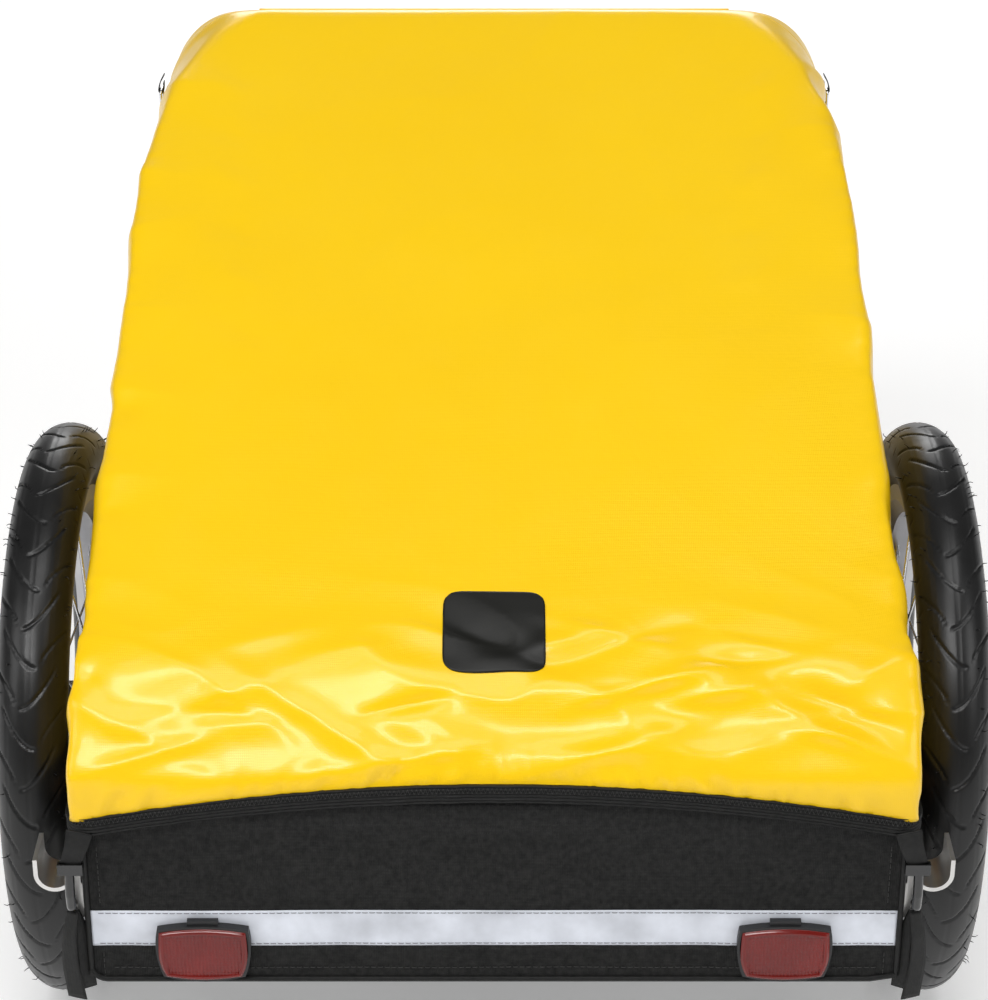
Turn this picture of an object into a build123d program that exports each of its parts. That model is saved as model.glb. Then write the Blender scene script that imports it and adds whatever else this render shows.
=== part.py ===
from build123d import *
import math
import os

os.makedirs("parts", exist_ok=True)

# Two-wheeled covered cargo trailer. +Z up, +Y forward, +X to the right. All sizes in mm.
# Lengths named ..._Y are measured from the wheel axle and are moved by AXLE_Y when used.

# Overall
REAR_REACH = 262
FRONT_REACH = 1115
AXLE_Y = (REAR_REACH - FRONT_REACH) / 2

# Wheels, 16 inch with a 305 mm bead seat
TYRE_R = 203
TYRE_W = 47
TYRE_WALL = 3
BEAD_R = 152.5
RIM_W = 30
RIM_INNER_R = 138.5
TRACK_HALF = 304
SPOKES = 20
SPOKE_R = 0.9
HUB_HALF = 25
HUB_R = 17
FLANGE_R = 27
BEARING_R = 14
BEARING_W = 8
AXLE_R = 5.95
BORE_R = 6.0
RUN_GAP = 0.3
PIN_GAP = 0.05

# Lower frame
RAIL_INNER = 236
RAIL_OUTER = 270
RAIL_BOTTOM = 172
RAIL_TOP = 218
RAIL_WALL = 2.5
RAIL_REAR_Y = -212
RAIL_FRONT_Y = 580
CROSS_R = 11
CROSS_Z = 190
CROSS_REAR_Y = -196
CROSS_FRONT_Y = 548
FLOOR_Z = 145
CLOTH = 2
BOARD = 4
PANEL_HALF = 262
PANEL_REAR_Y = -250
PANEL_FRONT_Y = 566
PANEL_TOP = 280
TUB_HALF = 252

# Folding side frames
SIDE_X = 248
SIDE_R = 8
HINGE_Z = 228
HINGE_PIN_R = 3
KNUCKLE_L = 30
LUG_L = 12
KNUCKLE_YS = (-140, 145, 430)
LOOP = ((-200, 246), (-185, 335), (318, 526), (495, 246))
LOOP_BEND = 32
BOW_Y = -150
BOW_R = 6

# Front hoop
HOOP_X = 225
HOOP_R = 8
HOOP_FOOT_Y = 540
HOOP_TOP_Y = 415
HOOP_TOP_Z = 566
HOOP_BEND = 60

# Cover
COVER_REAR_HALF = 272
COVER_FRONT_HALF = 260
HOOD_LOW_Z = 190
SHOULDER_R = 20
BEND_R = 24
COVER_REAR_Y = -254
FOLD_Y = -203
FOLD_Z = 353
PEAK_Y = 418
PEAK_Z = 590
PROW_TOP_Y = 452
PROW_TOP_Z = 578
PROW_LOW_Y = 585
PROW_LOW_Z = 262
PEAK_CORNER_R = 72
SEAM_Y = 430
WELT_R = 1.6
PATCH_Y = -170
WELT_HALF = 186
HEM_CORNER_Z = 254
HEM_CENTRE_Z = 284
HEM_H = 12
HEM_EXTRA = 1.2

# Rear fittings
STRIP_Z = 185
STRIP_H = 27
LAMP_X = 188
LAMP_Z = 168.5
LAMP_W = 61
LAMP_H = 43
BRACKET_REAR_Y = -244
BOLT_Y = -228
BOLT_Z = 198

# Tow bar
TOW_X = -253
TOW_PIVOT_Y = 625
TOW_Z = 195
TOW_R = 12.5
TOW_TIP_X = -123
TOW_TIP_Y = 1025
TOW_TIP_Z = 285
TOW_SWING = 65
LOCK_RADIUS = 10.7
LOCK_R = 2.5


def at(y):
    """Y of a point that is y ahead of the axle."""
    return y + AXLE_Y


def keep(builder, label):
    builder.part.label = label
    export_step(builder.part, f"parts/{label}.step")


def keep_pair(builder, label):
    """Writes the left piece and its mirror image on the right."""
    keep(builder, f"left_{label}")
    with BuildPart() as twin:
        mirror(builder.part, about=Plane.YZ)
    keep(twin, f"right_{label}")


def keep_both(builder, label):
    """Writes the left piece and its mirror image as one group of separate solids."""
    with BuildPart() as both:
        add(builder.part)
        mirror(builder.part, about=Plane.YZ)
    keep(both, label)


def rod(start, end, radius, mode=Mode.ADD):
    """A round bar between two points."""
    way = Vector(*end) - Vector(*start)
    with BuildSketch(Plane(origin=start, z_dir=way)) as end_face:
        Circle(radius)
    extrude(end_face.sketch, amount=way.length, mode=mode)


def block(x, y, z, mode=Mode.ADD):
    """A box from three (low, high) pairs."""
    with BuildSketch(Plane.XY.offset(z[0])) as base:
        with Locations(((x[0] + x[1]) / 2, (y[0] + y[1]) / 2)):
            Rectangle(x[1] - x[0], y[1] - y[0])
    extrude(base.sketch, amount=z[1] - z[0], mode=mode)


# ---------------------------------------------------------------- cover shape


# Slope of the cover's top, and the height of its outer face at y
TOP_RISE = (PEAK_Z - FOLD_Z) / (PEAK_Y - FOLD_Y)
TOP_SLOPE = math.atan(TOP_RISE)


def top_z(y):
    return FOLD_Z + (y - FOLD_Y) * TOP_RISE


def cover_half(y):
    """Half width of the cover's outer face at y."""
    length = PROW_LOW_Y + 6 - COVER_REAR_Y
    return COVER_REAR_HALF - (y - COVER_REAR_Y) * (COVER_REAR_HALF - COVER_FRONT_HALF) / length


def hood(inset):
    """The closed outer shape of the cover, taken in by inset all round."""
    back = cover_half(COVER_REAR_Y - 10)
    nose = cover_half(PROW_LOW_Y + 16)
    with BuildPart() as body:
        with BuildSketch(Plane.YZ.offset(-300)) as side:
            with BuildLine():
                Polyline(
                    (at(COVER_REAR_Y), HOOD_LOW_Z),
                    (at(COVER_REAR_Y), HEM_CENTRE_Z + 14),
                    (at(FOLD_Y), FOLD_Z),
                    (at(PEAK_Y), PEAK_Z),
                    (at(PROW_TOP_Y), PROW_TOP_Z),
                    (at(PROW_LOW_Y), PROW_LOW_Z),
                    (at(PROW_LOW_Y + 6), HOOD_LOW_Z),
                    close=True,
                )
            make_face()
            bends = side.vertices().filter_by(lambda v: v.Y > HOOD_LOW_Z + 10)
            fillet(bends, BEND_R)
            if inset:
                offset(amount=-inset, kind=Kind.INTERSECTION)
        extrude(amount=600)
        with BuildSketch(Plane.XY.offset(HOOD_LOW_Z - 20)):
            with BuildLine():
                Polyline(
                    (-back + inset, at(COVER_REAR_Y - 10)),
                    (back - inset, at(COVER_REAR_Y - 10)),
                    (nose - inset, at(PROW_LOW_Y + 16)),
                    (-nose + inset, at(PROW_LOW_Y + 16)),
                    close=True,
                )
            make_face()
        extrude(amount=500, mode=Mode.INTERSECT)
        walls = body.faces().filter_by(lambda f: abs(f.normal_at().X) > 0.9)
        rims = [e for e in walls.edges() if min(v.Z for v in e.vertices()) > HOOD_LOW_Z - 10]
        rims = [e for e in rims if e.center().Z > HOOD_LOW_Z + inset + 5]
        fillet(rims, SHOULDER_R - inset)
        level_z = PEAK_Z - PEAK_CORNER_R
        level_y = FOLD_Y + (level_z - FOLD_Z) / TOP_RISE
        corner_x = cover_half(level_y) - PEAK_CORNER_R + 0.5
        with BuildSketch(Plane.XZ.offset(-at(PROW_LOW_Y + 60))):
            with Locations((0, level_z / 2)):
                Rectangle(2 * COVER_REAR_HALF + 40, level_z)
            with Locations((0, (PEAK_Z - inset) / 2)):
                Rectangle(2 * corner_x, PEAK_Z - inset)
            with Locations((-corner_x, level_z), (corner_x, level_z)):
                Circle(PEAK_CORNER_R - inset)
        extrude(amount=PROW_LOW_Y - COVER_REAR_Y + 120, mode=Mode.INTERSECT)
    return body.part


def under_hem(lift, mode):
    """Works on everything under the arched hem line raised by lift."""
    side = COVER_REAR_HALF + 8
    with BuildSketch(Plane.XZ.offset(-at(PROW_LOW_Y + 60))) as area:
        with BuildLine():
            ThreePointArc(
                (-side, HEM_CORNER_Z + lift),
                (0, HEM_CENTRE_Z + lift),
                (side, HEM_CORNER_Z + lift),
            )
            Polyline(
                (side, HEM_CORNER_Z + lift),
                (side, HOOD_LOW_Z - 20),
                (-side, HOOD_LOW_Z - 20),
                (-side, HEM_CORNER_Z + lift),
            )
        make_face()
    extrude(area.sketch, amount=PROW_LOW_Y - COVER_REAR_Y + 120, mode=mode)


def behind_seam(mode):
    block((-300, 300), (at(COVER_REAR_Y - 20), at(SEAM_Y)), (0, 800), mode)


def ahead_of_seam(mode):
    block((-300, 300), (at(SEAM_Y) + 0.6, at(PROW_LOW_Y + 40)), (0, 800), mode)


def seam_welt(half, radius, mode=Mode.ADD):
    """The round cord along the seam, whose centre line the lid turns about."""
    fall = (PEAK_Z - PROW_TOP_Z) / (PROW_TOP_Y - PEAK_Y)
    z = PEAK_Z - (SEAM_Y - PEAK_Y) * fall + 0.3
    rod((-half, at(SEAM_Y), z), (half, at(SEAM_Y), z), radius, mode)


outer = hood(0)
inner = hood(CLOTH)
thick = hood(-HEM_EXTRA)

with BuildPart() as cover:
    add(outer)
    add(inner, mode=Mode.SUBTRACT)
    under_hem(HEM_H, Mode.SUBTRACT)
    behind_seam(Mode.INTERSECT)
    seam_welt(WELT_HALF + 1, WELT_R + 0.4, Mode.SUBTRACT)
keep(cover, "cover")

with BuildPart() as cover_hem:
    add(thick)
    add(inner, mode=Mode.SUBTRACT)
    under_hem(0, Mode.SUBTRACT)
    under_hem(HEM_H, Mode.INTERSECT)
    behind_seam(Mode.INTERSECT)
keep(cover_hem, "cover_hem")

with BuildPart() as front_cover:
    add(outer)
    add(inner, mode=Mode.SUBTRACT)
    under_hem(HEM_H, Mode.SUBTRACT)
    ahead_of_seam(Mode.INTERSECT)
    seam_welt(WELT_HALF, WELT_R)
keep(front_cover, "front_cover")

with BuildPart() as front_hem:
    add(thick)
    add(inner, mode=Mode.SUBTRACT)
    under_hem(0, Mode.SUBTRACT)
    under_hem(HEM_H, Mode.INTERSECT)
    ahead_of_seam(Mode.INTERSECT)

with BuildPart() as patch:
    patch_plane = Plane(
        origin=(0, at(PATCH_Y), top_z(PATCH_Y)),
        x_dir=(1, 0, 0),
        z_dir=(0, -math.sin(TOP_SLOPE), math.cos(TOP_SLOPE)),
    )
    with BuildSketch(patch_plane):
        RectangleRounded(64, 60, 9)
    extrude(amount=1)
keep(patch, "cover_patch")

BOW_Z = top_z(BOW_Y) - (CLOTH + BOW_R) / math.cos(TOP_SLOPE)

with BuildPart() as bow:
    rod((-232, at(BOW_Y), BOW_Z), (232, at(BOW_Y), BOW_Z), BOW_R)
    rod((-230, at(BOW_Y), BOW_Z), (230, at(BOW_Y), BOW_Z), BOW_R - 1.2, Mode.SUBTRACT)
keep(bow, "rear_bow")

# ---------------------------------------------------------------- wheels (left, mirrored)


def about_wheel(x):
    return (-TRACK_HALF + x, at(0), TYRE_R)


WHEEL_PLANE = Plane(origin=about_wheel(0), x_dir=(1, 0, 0), z_dir=(0, -1, 0))
WHEEL_AXIS = Axis((-TRACK_HALF, at(0), TYRE_R), (1, 0, 0))
SECTION_R = TYRE_W / 2
SECTION_Y = TYRE_R - SECTION_R
SEAT_HALF = RIM_W / 2 - 3


def barrel(x0, x1, radius, mode=Mode.ADD):
    """A disc or bar on the wheel's axis between two distances across the tyre's centre."""
    rod(about_wheel(x0), about_wheel(x1), radius, mode)


with BuildPart() as tyre:
    with BuildSketch(WHEEL_PLANE):
        with Locations((0, SECTION_Y)):
            Circle(SECTION_R)
        with Locations((0, BEAD_R + 5)):
            Rectangle(2 * SEAT_HALF, 10)
        with Locations((0, SECTION_Y)):
            Circle(SECTION_R - TYRE_WALL, mode=Mode.SUBTRACT)
        with Locations((0, BEAD_R + 3)):
            Rectangle(2 * (SEAT_HALF - 3), 22, mode=Mode.SUBTRACT)
    revolve(axis=WHEEL_AXIS)
keep_pair(tyre, "tyre")

TUBE_R = SECTION_R - TYRE_WALL - RUN_GAP
VALVE_R = 3

VALVE_LOW = TYRE_R + RIM_INNER_R - 22

with BuildPart() as inner_tube:
    with BuildSketch(WHEEL_PLANE):
        with Locations((0, SECTION_Y)):
            Circle(TUBE_R)
            Circle(TUBE_R - 1.2, mode=Mode.SUBTRACT)
        Rectangle(200, 2 * (BEAD_R + 9), mode=Mode.SUBTRACT)
        with Locations((0, BEAD_R + 9.6)):
            Rectangle(16, 1.2)
    revolve(axis=WHEEL_AXIS)
    stem_top = (-TRACK_HALF, at(0), TYRE_R + BEAD_R + 9.6)
    rod((-TRACK_HALF, at(0), VALVE_LOW), stem_top, VALVE_R)
    rod((-TRACK_HALF, at(0), VALVE_LOW), (-TRACK_HALF, at(0), VALVE_LOW + 10), VALVE_R + 1.2)
    rod((-TRACK_HALF, at(0), VALVE_LOW), (-TRACK_HALF, at(0), TYRE_R + SECTION_Y), 1.2, Mode.SUBTRACT)
keep_pair(inner_tube, "inner_tube")

with BuildPart() as rim:
    with BuildSketch(WHEEL_PLANE):
        with BuildLine():
            Polyline(
                (-RIM_W / 2, BEAD_R + 6),
                (-SEAT_HALF, BEAD_R + 6),
                (-SEAT_HALF, BEAD_R),
                (SEAT_HALF, BEAD_R),
                (SEAT_HALF, BEAD_R + 6),
                (RIM_W / 2, BEAD_R + 6),
                (RIM_W / 2, BEAD_R - 5),
                (8, RIM_INNER_R),
                (-8, RIM_INNER_R),
                (-RIM_W / 2, BEAD_R - 5),
                close=True,
            )
        make_face()
        with BuildLine():
            Polyline(
                (-SEAT_HALF, BEAD_R - 2),
                (SEAT_HALF, BEAD_R - 2),
                (SEAT_HALF, BEAD_R - 5),
                (7, RIM_INNER_R + 2),
                (-7, RIM_INNER_R + 2),
                (-SEAT_HALF, BEAD_R - 5),
                close=True,
            )
        make_face(mode=Mode.SUBTRACT)
    revolve(axis=WHEEL_AXIS)
    rod(about_wheel(0), (-TRACK_HALF, at(0), TYRE_R + BEAD_R + 4), VALVE_R, Mode.SUBTRACT)
keep_pair(rim, "rim")

with BuildPart() as hub:
    barrel(-HUB_HALF, HUB_HALF, HUB_R)
    for side in (-1, 1):
        barrel(side * 17, side * 20, FLANGE_R)
    barrel(-HUB_HALF, HUB_HALF, BORE_R + 3, Mode.SUBTRACT)
    for side in (-1, 1):
        barrel(side * HUB_HALF, side * (HUB_HALF - BEARING_W), BEARING_R, Mode.SUBTRACT)
keep_pair(hub, "hub")

with BuildPart() as bearings:
    for side in (-1, 1):
        barrel(side * HUB_HALF, side * (HUB_HALF - BEARING_W), BEARING_R)
        barrel(side * HUB_HALF, side * (HUB_HALF - BEARING_W), BORE_R, Mode.SUBTRACT)
keep_pair(bearings, "bearings")


def wheel_point(x, radius, angle):
    a = math.radians(angle)
    return (
        -TRACK_HALF + x,
        at(0) + radius * math.cos(a),
        TYRE_R + radius * math.sin(a),
    )


def spoke_ends(index):
    """Hub end and rim end of one spoke. Pairs lean opposite ways and alternate sides."""
    side = 1 if index % 2 else -1
    lean = 34 if (index // 2) % 2 else -34
    rim_angle = 9 + index * 360 / SPOKES
    return (
        wheel_point(side * 18.5 + lean / 17, FLANGE_R - 1, rim_angle + lean),
        wheel_point(side * 2, RIM_INNER_R + 1, rim_angle),
    )


NIPPLE_R = 2.2

with BuildPart() as spokes:
    for index in range(SPOKES):
        start, end = spoke_ends(index)
        way = (Vector(*end) - Vector(*start)).normalized()
        rod(start, end, SPOKE_R)
        rod(tuple(Vector(*end) - way * 9), end, NIPPLE_R)
    with BuildSketch(WHEEL_PLANE):
        with Locations((0, RIM_INNER_R + 5)):
            Rectangle(40, 10)
    revolve(axis=WHEEL_AXIS, mode=Mode.SUBTRACT)
    for side in (-1, 1):
        barrel(side * 17, side * 20, FLANGE_R, Mode.SUBTRACT)
keep_pair(spokes, "spokes")

# ---------------------------------------------------------------- axle and its receiver

RECEIVER_IN = TRACK_HALF - RAIL_INNER - 0.5
RECEIVER_OUT = TRACK_HALF - RAIL_OUTER
CAP_IN = -HUB_HALF - RUN_GAP
CAP_OUT = CAP_IN - 8
BUTTON_R = 4

with BuildPart() as axle:
    barrel(CAP_OUT, RECEIVER_IN - 4, AXLE_R)
    barrel(CAP_OUT, CAP_IN, 11)
    barrel(HUB_HALF + RUN_GAP, RECEIVER_OUT - RUN_GAP, 9)
    barrel(CAP_OUT, CAP_OUT + 16, BUTTON_R + PIN_GAP, Mode.SUBTRACT)
keep_pair(axle, "axle")

with BuildPart() as button:
    barrel(CAP_OUT - 4, CAP_OUT + 11, BUTTON_R)
keep_pair(button, "axle_button")

with BuildPart() as receiver:
    barrel(RECEIVER_OUT, RECEIVER_IN, 13)
    barrel(RECEIVER_OUT, RECEIVER_IN, BORE_R, Mode.SUBTRACT)
keep_both(receiver, "axle_receivers")

# ---------------------------------------------------------------- lower frame

with BuildPart() as rail:
    block((-RAIL_OUTER, -RAIL_INNER), (at(RAIL_REAR_Y), at(RAIL_FRONT_Y)), (RAIL_BOTTOM, RAIL_TOP))
    block(
        (-RAIL_OUTER + RAIL_WALL, -RAIL_INNER - RAIL_WALL),
        (at(RAIL_REAR_Y), at(RAIL_FRONT_Y)),
        (RAIL_BOTTOM + RAIL_WALL, RAIL_TOP - RAIL_WALL),
        Mode.SUBTRACT,
    )
    barrel(RECEIVER_OUT - 1, RECEIVER_IN + 5, 13, Mode.SUBTRACT)
keep_both(rail, "rails")


with BuildPart() as cross_tubes:
    for radius, mode in ((CROSS_R, Mode.ADD), (CROSS_R - 1.8, Mode.SUBTRACT)):
        for y in (CROSS_REAR_Y, CROSS_FRONT_Y):
            rod((-RAIL_INNER, at(y), CROSS_Z), (RAIL_INNER, at(y), CROSS_Z), radius, mode)
keep(cross_tubes, "cross_tubes")

TUB_REAR_Y = PANEL_REAR_Y + CLOTH

with BuildPart() as tub:
    tub_y = (at(TUB_REAR_Y), at(PANEL_FRONT_Y))
    block((-TUB_HALF, TUB_HALF), tub_y, (FLOOR_Z, RAIL_BOTTOM))
    inner_half = TUB_HALF - CLOTH
    block((-inner_half, inner_half), tub_y, (FLOOR_Z + CLOTH, RAIL_BOTTOM), Mode.SUBTRACT)
keep(tub, "floor_tub")

with BuildPart() as board:
    block(
        (-TUB_HALF + 4, TUB_HALF - 4),
        (at(TUB_REAR_Y + 2), at(PANEL_FRONT_Y - 2)),
        (FLOOR_Z + CLOTH, FLOOR_Z + CLOTH + BOARD),
    )
    fillet(board.edges().filter_by(Axis.Z), 12)
keep(board, "floor_board")

with BuildPart() as rear_panel:
    block(
        (-PANEL_HALF, PANEL_HALF),
        (at(PANEL_REAR_Y), at(PANEL_REAR_Y) + CLOTH),
        (FLOOR_Z, HEM_CENTRE_Z - 4),
    )
    corners = rear_panel.edges().filter_by(Axis.Y)
    fillet(corners.sort_by(Axis.Z)[:2], 10)
    below = rear_panel.edges().filter_by(Axis.Y).sort_by(Axis.Z)[-2:]
    chamfer(below, 24)
keep(rear_panel, "rear_panel")

with BuildPart() as front_panel:
    block(
        (-RAIL_INNER + 2, RAIL_INNER - 2),
        (at(PANEL_FRONT_Y), at(PANEL_FRONT_Y) + CLOTH),
        (FLOOR_Z, HEM_CENTRE_Z + 6),
    )
    fillet(front_panel.edges().filter_by(Axis.Y).sort_by(Axis.Z)[:2], 10)
keep(front_panel, "front_panel")

with BuildPart() as bracket:
    section = Plane.XZ.offset(-at(RAIL_REAR_Y))
    cup = (-283, 222)
    with BuildSketch(section):
        with Locations(cup):
            Circle(13)
            Circle(10.2, mode=Mode.SUBTRACT)
        with Locations((cup[0], cup[1] + 15)):
            Rectangle(40, 30, mode=Mode.SUBTRACT)
        with Locations((cup[0] - 11.6, cup[1] + 5), (cup[0] + 11.6, cup[1] + 7)):
            Rectangle(2.8, 12)
    extrude(amount=at(RAIL_REAR_Y) - at(BRACKET_REAR_Y))
    with BuildSketch(section):
        with BuildLine():
            Polyline(
                (-272, 224),
                (-272, 210),
                (-269.5, 206),
                (-269.5, 189),
                (-264.5, 189),
                (-264.5, 206),
                (-258, 208),
                (-250, 208),
                (-246, 214),
                (-246, 222),
                (-249, 222),
                (-249, 215),
                (-252, 211.5),
                (-262, 211.5),
                (-266, 216),
                (-266, 231),
                (-269, 231),
                (-269, 224),
                close=True,
            )
        make_face()
    extrude(amount=at(RAIL_REAR_Y) - at(BRACKET_REAR_Y))
    rod((-275, at(BOLT_Y), BOLT_Z), (-260, at(BOLT_Y), BOLT_Z), 2.5, Mode.SUBTRACT)
keep_both(bracket, "rail_brackets")

with BuildPart() as knuckle:
    knuckle_centre = (-257.5, 217)
    with BuildSketch(section):
        with Locations(knuckle_centre):
            Circle(5.4)
    extrude(amount=at(RAIL_REAR_Y) - at(BRACKET_REAR_Y) - 3)
keep_both(knuckle, "rail_plugs")

with BuildPart() as bracket_bolt:
    rod((-264.5, at(BOLT_Y), BOLT_Z), (-269.5, at(BOLT_Y), BOLT_Z), 2.5)
    with BuildSketch(Plane(origin=(-269.5, at(BOLT_Y), BOLT_Z), z_dir=(-1, 0, 0))):
        RegularPolygon(4.6, 6)
    extrude(amount=3.5)
    with BuildSketch(Plane(origin=(-264.5, at(BOLT_Y), BOLT_Z), z_dir=(1, 0, 0))):
        RegularPolygon(4.6, 6)
    extrude(amount=3)
keep_both(bracket_bolt, "bracket_bolts")

# ---------------------------------------------------------------- hinges and side frames


def hinge_rod(y0, y1, radius, mode=Mode.ADD):
    rod((-SIDE_X, at(y0), HINGE_Z), (-SIDE_X, at(y1), HINGE_Z), radius, mode)


PIN_REACH = KNUCKLE_L / 2 + LUG_L + 4

with BuildPart() as hinge_pins:
    for y in KNUCKLE_YS:
        hinge_rod(y - PIN_REACH, y + PIN_REACH, HINGE_PIN_R)
keep_both(hinge_pins, "hinge_pins")

with BuildPart() as lugs:
    for y in KNUCKLE_YS:
        for side in (-1, 1):
            near = y + side * (KNUCKLE_L / 2 + RUN_GAP)
            far = near + side * LUG_L
            low, high = min(near, far), max(near, far)
            hinge_rod(low, high, 7)
            block((-SIDE_X - 8, -SIDE_X + 8), (at(low), at(high)), (RAIL_TOP, HINGE_Z - 3))
    for y in KNUCKLE_YS:
        hinge_rod(y - PIN_REACH, y + PIN_REACH, HINGE_PIN_R, Mode.SUBTRACT)
keep_both(lugs, "hinge_lugs")

LOOP_LOW_Z = LOOP[0][1]

with BuildPart() as knuckles:
    for y in KNUCKLE_YS:
        hinge_rod(y - KNUCKLE_L / 2, y + KNUCKLE_L / 2, 8)
        span = (at(y - KNUCKLE_L / 2), at(y + KNUCKLE_L / 2))
        block((-SIDE_X - 7, -SIDE_X + 8), span, (HINGE_Z, LOOP_LOW_Z - 0.5))
    for y in KNUCKLE_YS:
        hinge_rod(y - PIN_REACH, y + PIN_REACH, HINGE_PIN_R + PIN_GAP, Mode.SUBTRACT)
    start = (-SIDE_X, at(KNUCKLE_YS[0] - KNUCKLE_L), LOOP_LOW_Z)
    end = (-SIDE_X, at(KNUCKLE_YS[-1] + KNUCKLE_L), LOOP_LOW_Z)
    rod(start, end, SIDE_R, Mode.SUBTRACT)
keep_pair(knuckles, "hinge_knuckles")

with BuildPart() as side_loop:
    with BuildLine() as loop_path:
        corners = [(-SIDE_X, at(y), z) for y, z in LOOP]
        FilletPolyline(*corners, radius=LOOP_BEND, close=True)
    start_plane = Plane(origin=loop_path.line @ 0, z_dir=loop_path.line % 0)
    with BuildSketch(start_plane):
        Circle(SIDE_R)
        Circle(SIDE_R - 1.5, mode=Mode.SUBTRACT)
    sweep()
keep_pair(side_loop, "side_frame")

with BuildPart() as side_cloth:
    with BuildSketch(Plane.YZ.offset(-SIDE_X - SIDE_R - 1.5)):
        with BuildLine():
            Polyline(*[(at(y), z) for y, z in LOOP], close=True)
        make_face()
        fillet(vertices(), LOOP_BEND)
        offset(amount=SIDE_R - 1)
    extrude(amount=1.5)
keep_pair(side_cloth, "side_cloth")

SADDLE_W = 18


def loop_top_z(y):
    (y1, z1), (y2, z2) = LOOP[1], LOOP[2]
    return z1 + (y - y1) * (z2 - z1) / (y2 - y1)


with BuildPart() as saddle:
    seat_z = BOW_Z - BOW_R - 0.8
    low = loop_top_z(BOW_Y) - 7
    outer_x, inner_x = -SIDE_X + 4, -SIDE_X + 26
    block((outer_x, inner_x), (at(BOW_Y - 9), at(BOW_Y + 9)), (low, BOW_Z + 1))
    block(
        (outer_x - 1, inner_x + 1),
        (at(BOW_Y - BOW_R - 0.8), at(BOW_Y + BOW_R + 0.8)),
        (seat_z, BOW_Z + 2),
        Mode.SUBTRACT,
    )
    fillet(saddle.edges().filter_by(Axis.X).sort_by(Axis.Z)[:2], 3)
    slope_y = 60
    rod(
        (-SIDE_X, at(BOW_Y - slope_y), loop_top_z(BOW_Y - slope_y)),
        (-SIDE_X, at(BOW_Y + slope_y), loop_top_z(BOW_Y + slope_y)),
        SIDE_R,
        Mode.SUBTRACT,
    )
keep_pair(saddle, "bow_saddle")

# ---------------------------------------------------------------- front hoop

with BuildPart() as hoop:
    with BuildLine() as hoop_path:
        FilletPolyline(
            (-HOOP_X, at(HOOP_FOOT_Y), CROSS_Z + 18),
            (-HOOP_X, at(HOOP_TOP_Y), HOOP_TOP_Z),
            (HOOP_X, at(HOOP_TOP_Y), HOOP_TOP_Z),
            (HOOP_X, at(HOOP_FOOT_Y), CROSS_Z + 18),
            radius=HOOP_BEND,
        )
    with BuildSketch(Plane(origin=hoop_path.line @ 0, z_dir=hoop_path.line % 0)):
        Circle(HOOP_R)
        Circle(HOOP_R - 1.5, mode=Mode.SUBTRACT)
    sweep()
keep(hoop, "front_hoop")

with BuildPart() as hoop_feet:
    for side in (-1, 1):
        xs = sorted((side * RAIL_INNER, side * (RAIL_INNER - 22)))
        block(xs, (at(HOOP_FOOT_Y - 18), at(HOOP_FOOT_Y + 24)), (CROSS_Z - 16, CROSS_Z + 34))
    rod(
        (-RAIL_INNER, at(CROSS_FRONT_Y), CROSS_Z),
        (RAIL_INNER, at(CROSS_FRONT_Y), CROSS_Z),
        CROSS_R,
        Mode.SUBTRACT,
    )
    leg = Vector(0, HOOP_TOP_Y - HOOP_FOOT_Y, HOOP_TOP_Z - CROSS_Z - 18).normalized()
    for side in (-1, 1):
        foot = Vector(side * HOOP_X, at(HOOP_FOOT_Y), CROSS_Z + 18)
        rod(tuple(foot), tuple(foot + leg * 60), HOOP_R, Mode.SUBTRACT)
keep(hoop_feet, "hoop_feet")

# ---------------------------------------------------------------- rear strip and lamps

with BuildPart() as strip:
    block(
        (-PANEL_HALF, PANEL_HALF),
        (at(PANEL_REAR_Y) - 0.6, at(PANEL_REAR_Y)),
        (STRIP_Z - STRIP_H / 2, STRIP_Z + STRIP_H / 2),
    )
keep(strip, "reflective_strip")

LAMP_BACK_Y = PANEL_REAR_Y - 0.6


def lamp_outline(inset):
    """Barrel-shaped outline of a reflector, taken in by inset."""
    half = LAMP_W / 2 - inset
    top = LAMP_Z + LAMP_H / 2 - inset
    low = LAMP_Z - LAMP_H / 2 + inset
    with BuildLine() as edge:
        ThreePointArc((-half + 1, top - 3), (0, top), (half - 1, top - 3))
        ThreePointArc((half - 1, top - 3), (half, LAMP_Z), (half - 4, low + 4))
        ThreePointArc((half - 4, low + 4), (0, low), (-half + 4, low + 4))
        ThreePointArc((-half + 4, low + 4), (-half, LAMP_Z), (-half + 1, top - 3))
    make_face(edge.edges())


with BuildPart() as lamp_housing:
    with BuildSketch(Plane.XZ.offset(-at(LAMP_BACK_Y))):
        lamp_outline(0)
    extrude(amount=6)
    with BuildSketch(Plane.XZ.offset(-at(LAMP_BACK_Y) + 2.5)):
        lamp_outline(1.6)
    extrude(amount=6, mode=Mode.SUBTRACT)
    top_edge = LAMP_Z + LAMP_H / 2
    block((-10, 10), (at(LAMP_BACK_Y) - 4, at(LAMP_BACK_Y)), (top_edge - 1.4, top_edge + 3))
with BuildPart() as housings:
    for side in (-1, 1):
        add(lamp_housing.part.moved(Location((side * LAMP_X, 0, 0))))
keep(housings, "reflector_housings")

with BuildPart() as lamp_lens:
    with BuildSketch(Plane.XZ.offset(-at(LAMP_BACK_Y) + 2.5)):
        lamp_outline(1.6)
    extrude(amount=REAR_REACH + LAMP_BACK_Y - 2.5)
    front = lamp_lens.faces().sort_by(Axis.Y)[0]
    chamfer(front.edges(), 1.5)
with BuildPart() as lenses:
    for side in (-1, 1):
        add(lamp_lens.part.moved(Location((side * LAMP_X, 0, 0))))
keep(lenses, "reflector_lenses")

# ---------------------------------------------------------------- hem hooks

HOOK_X = 271
HOOK_Y = -256

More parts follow.
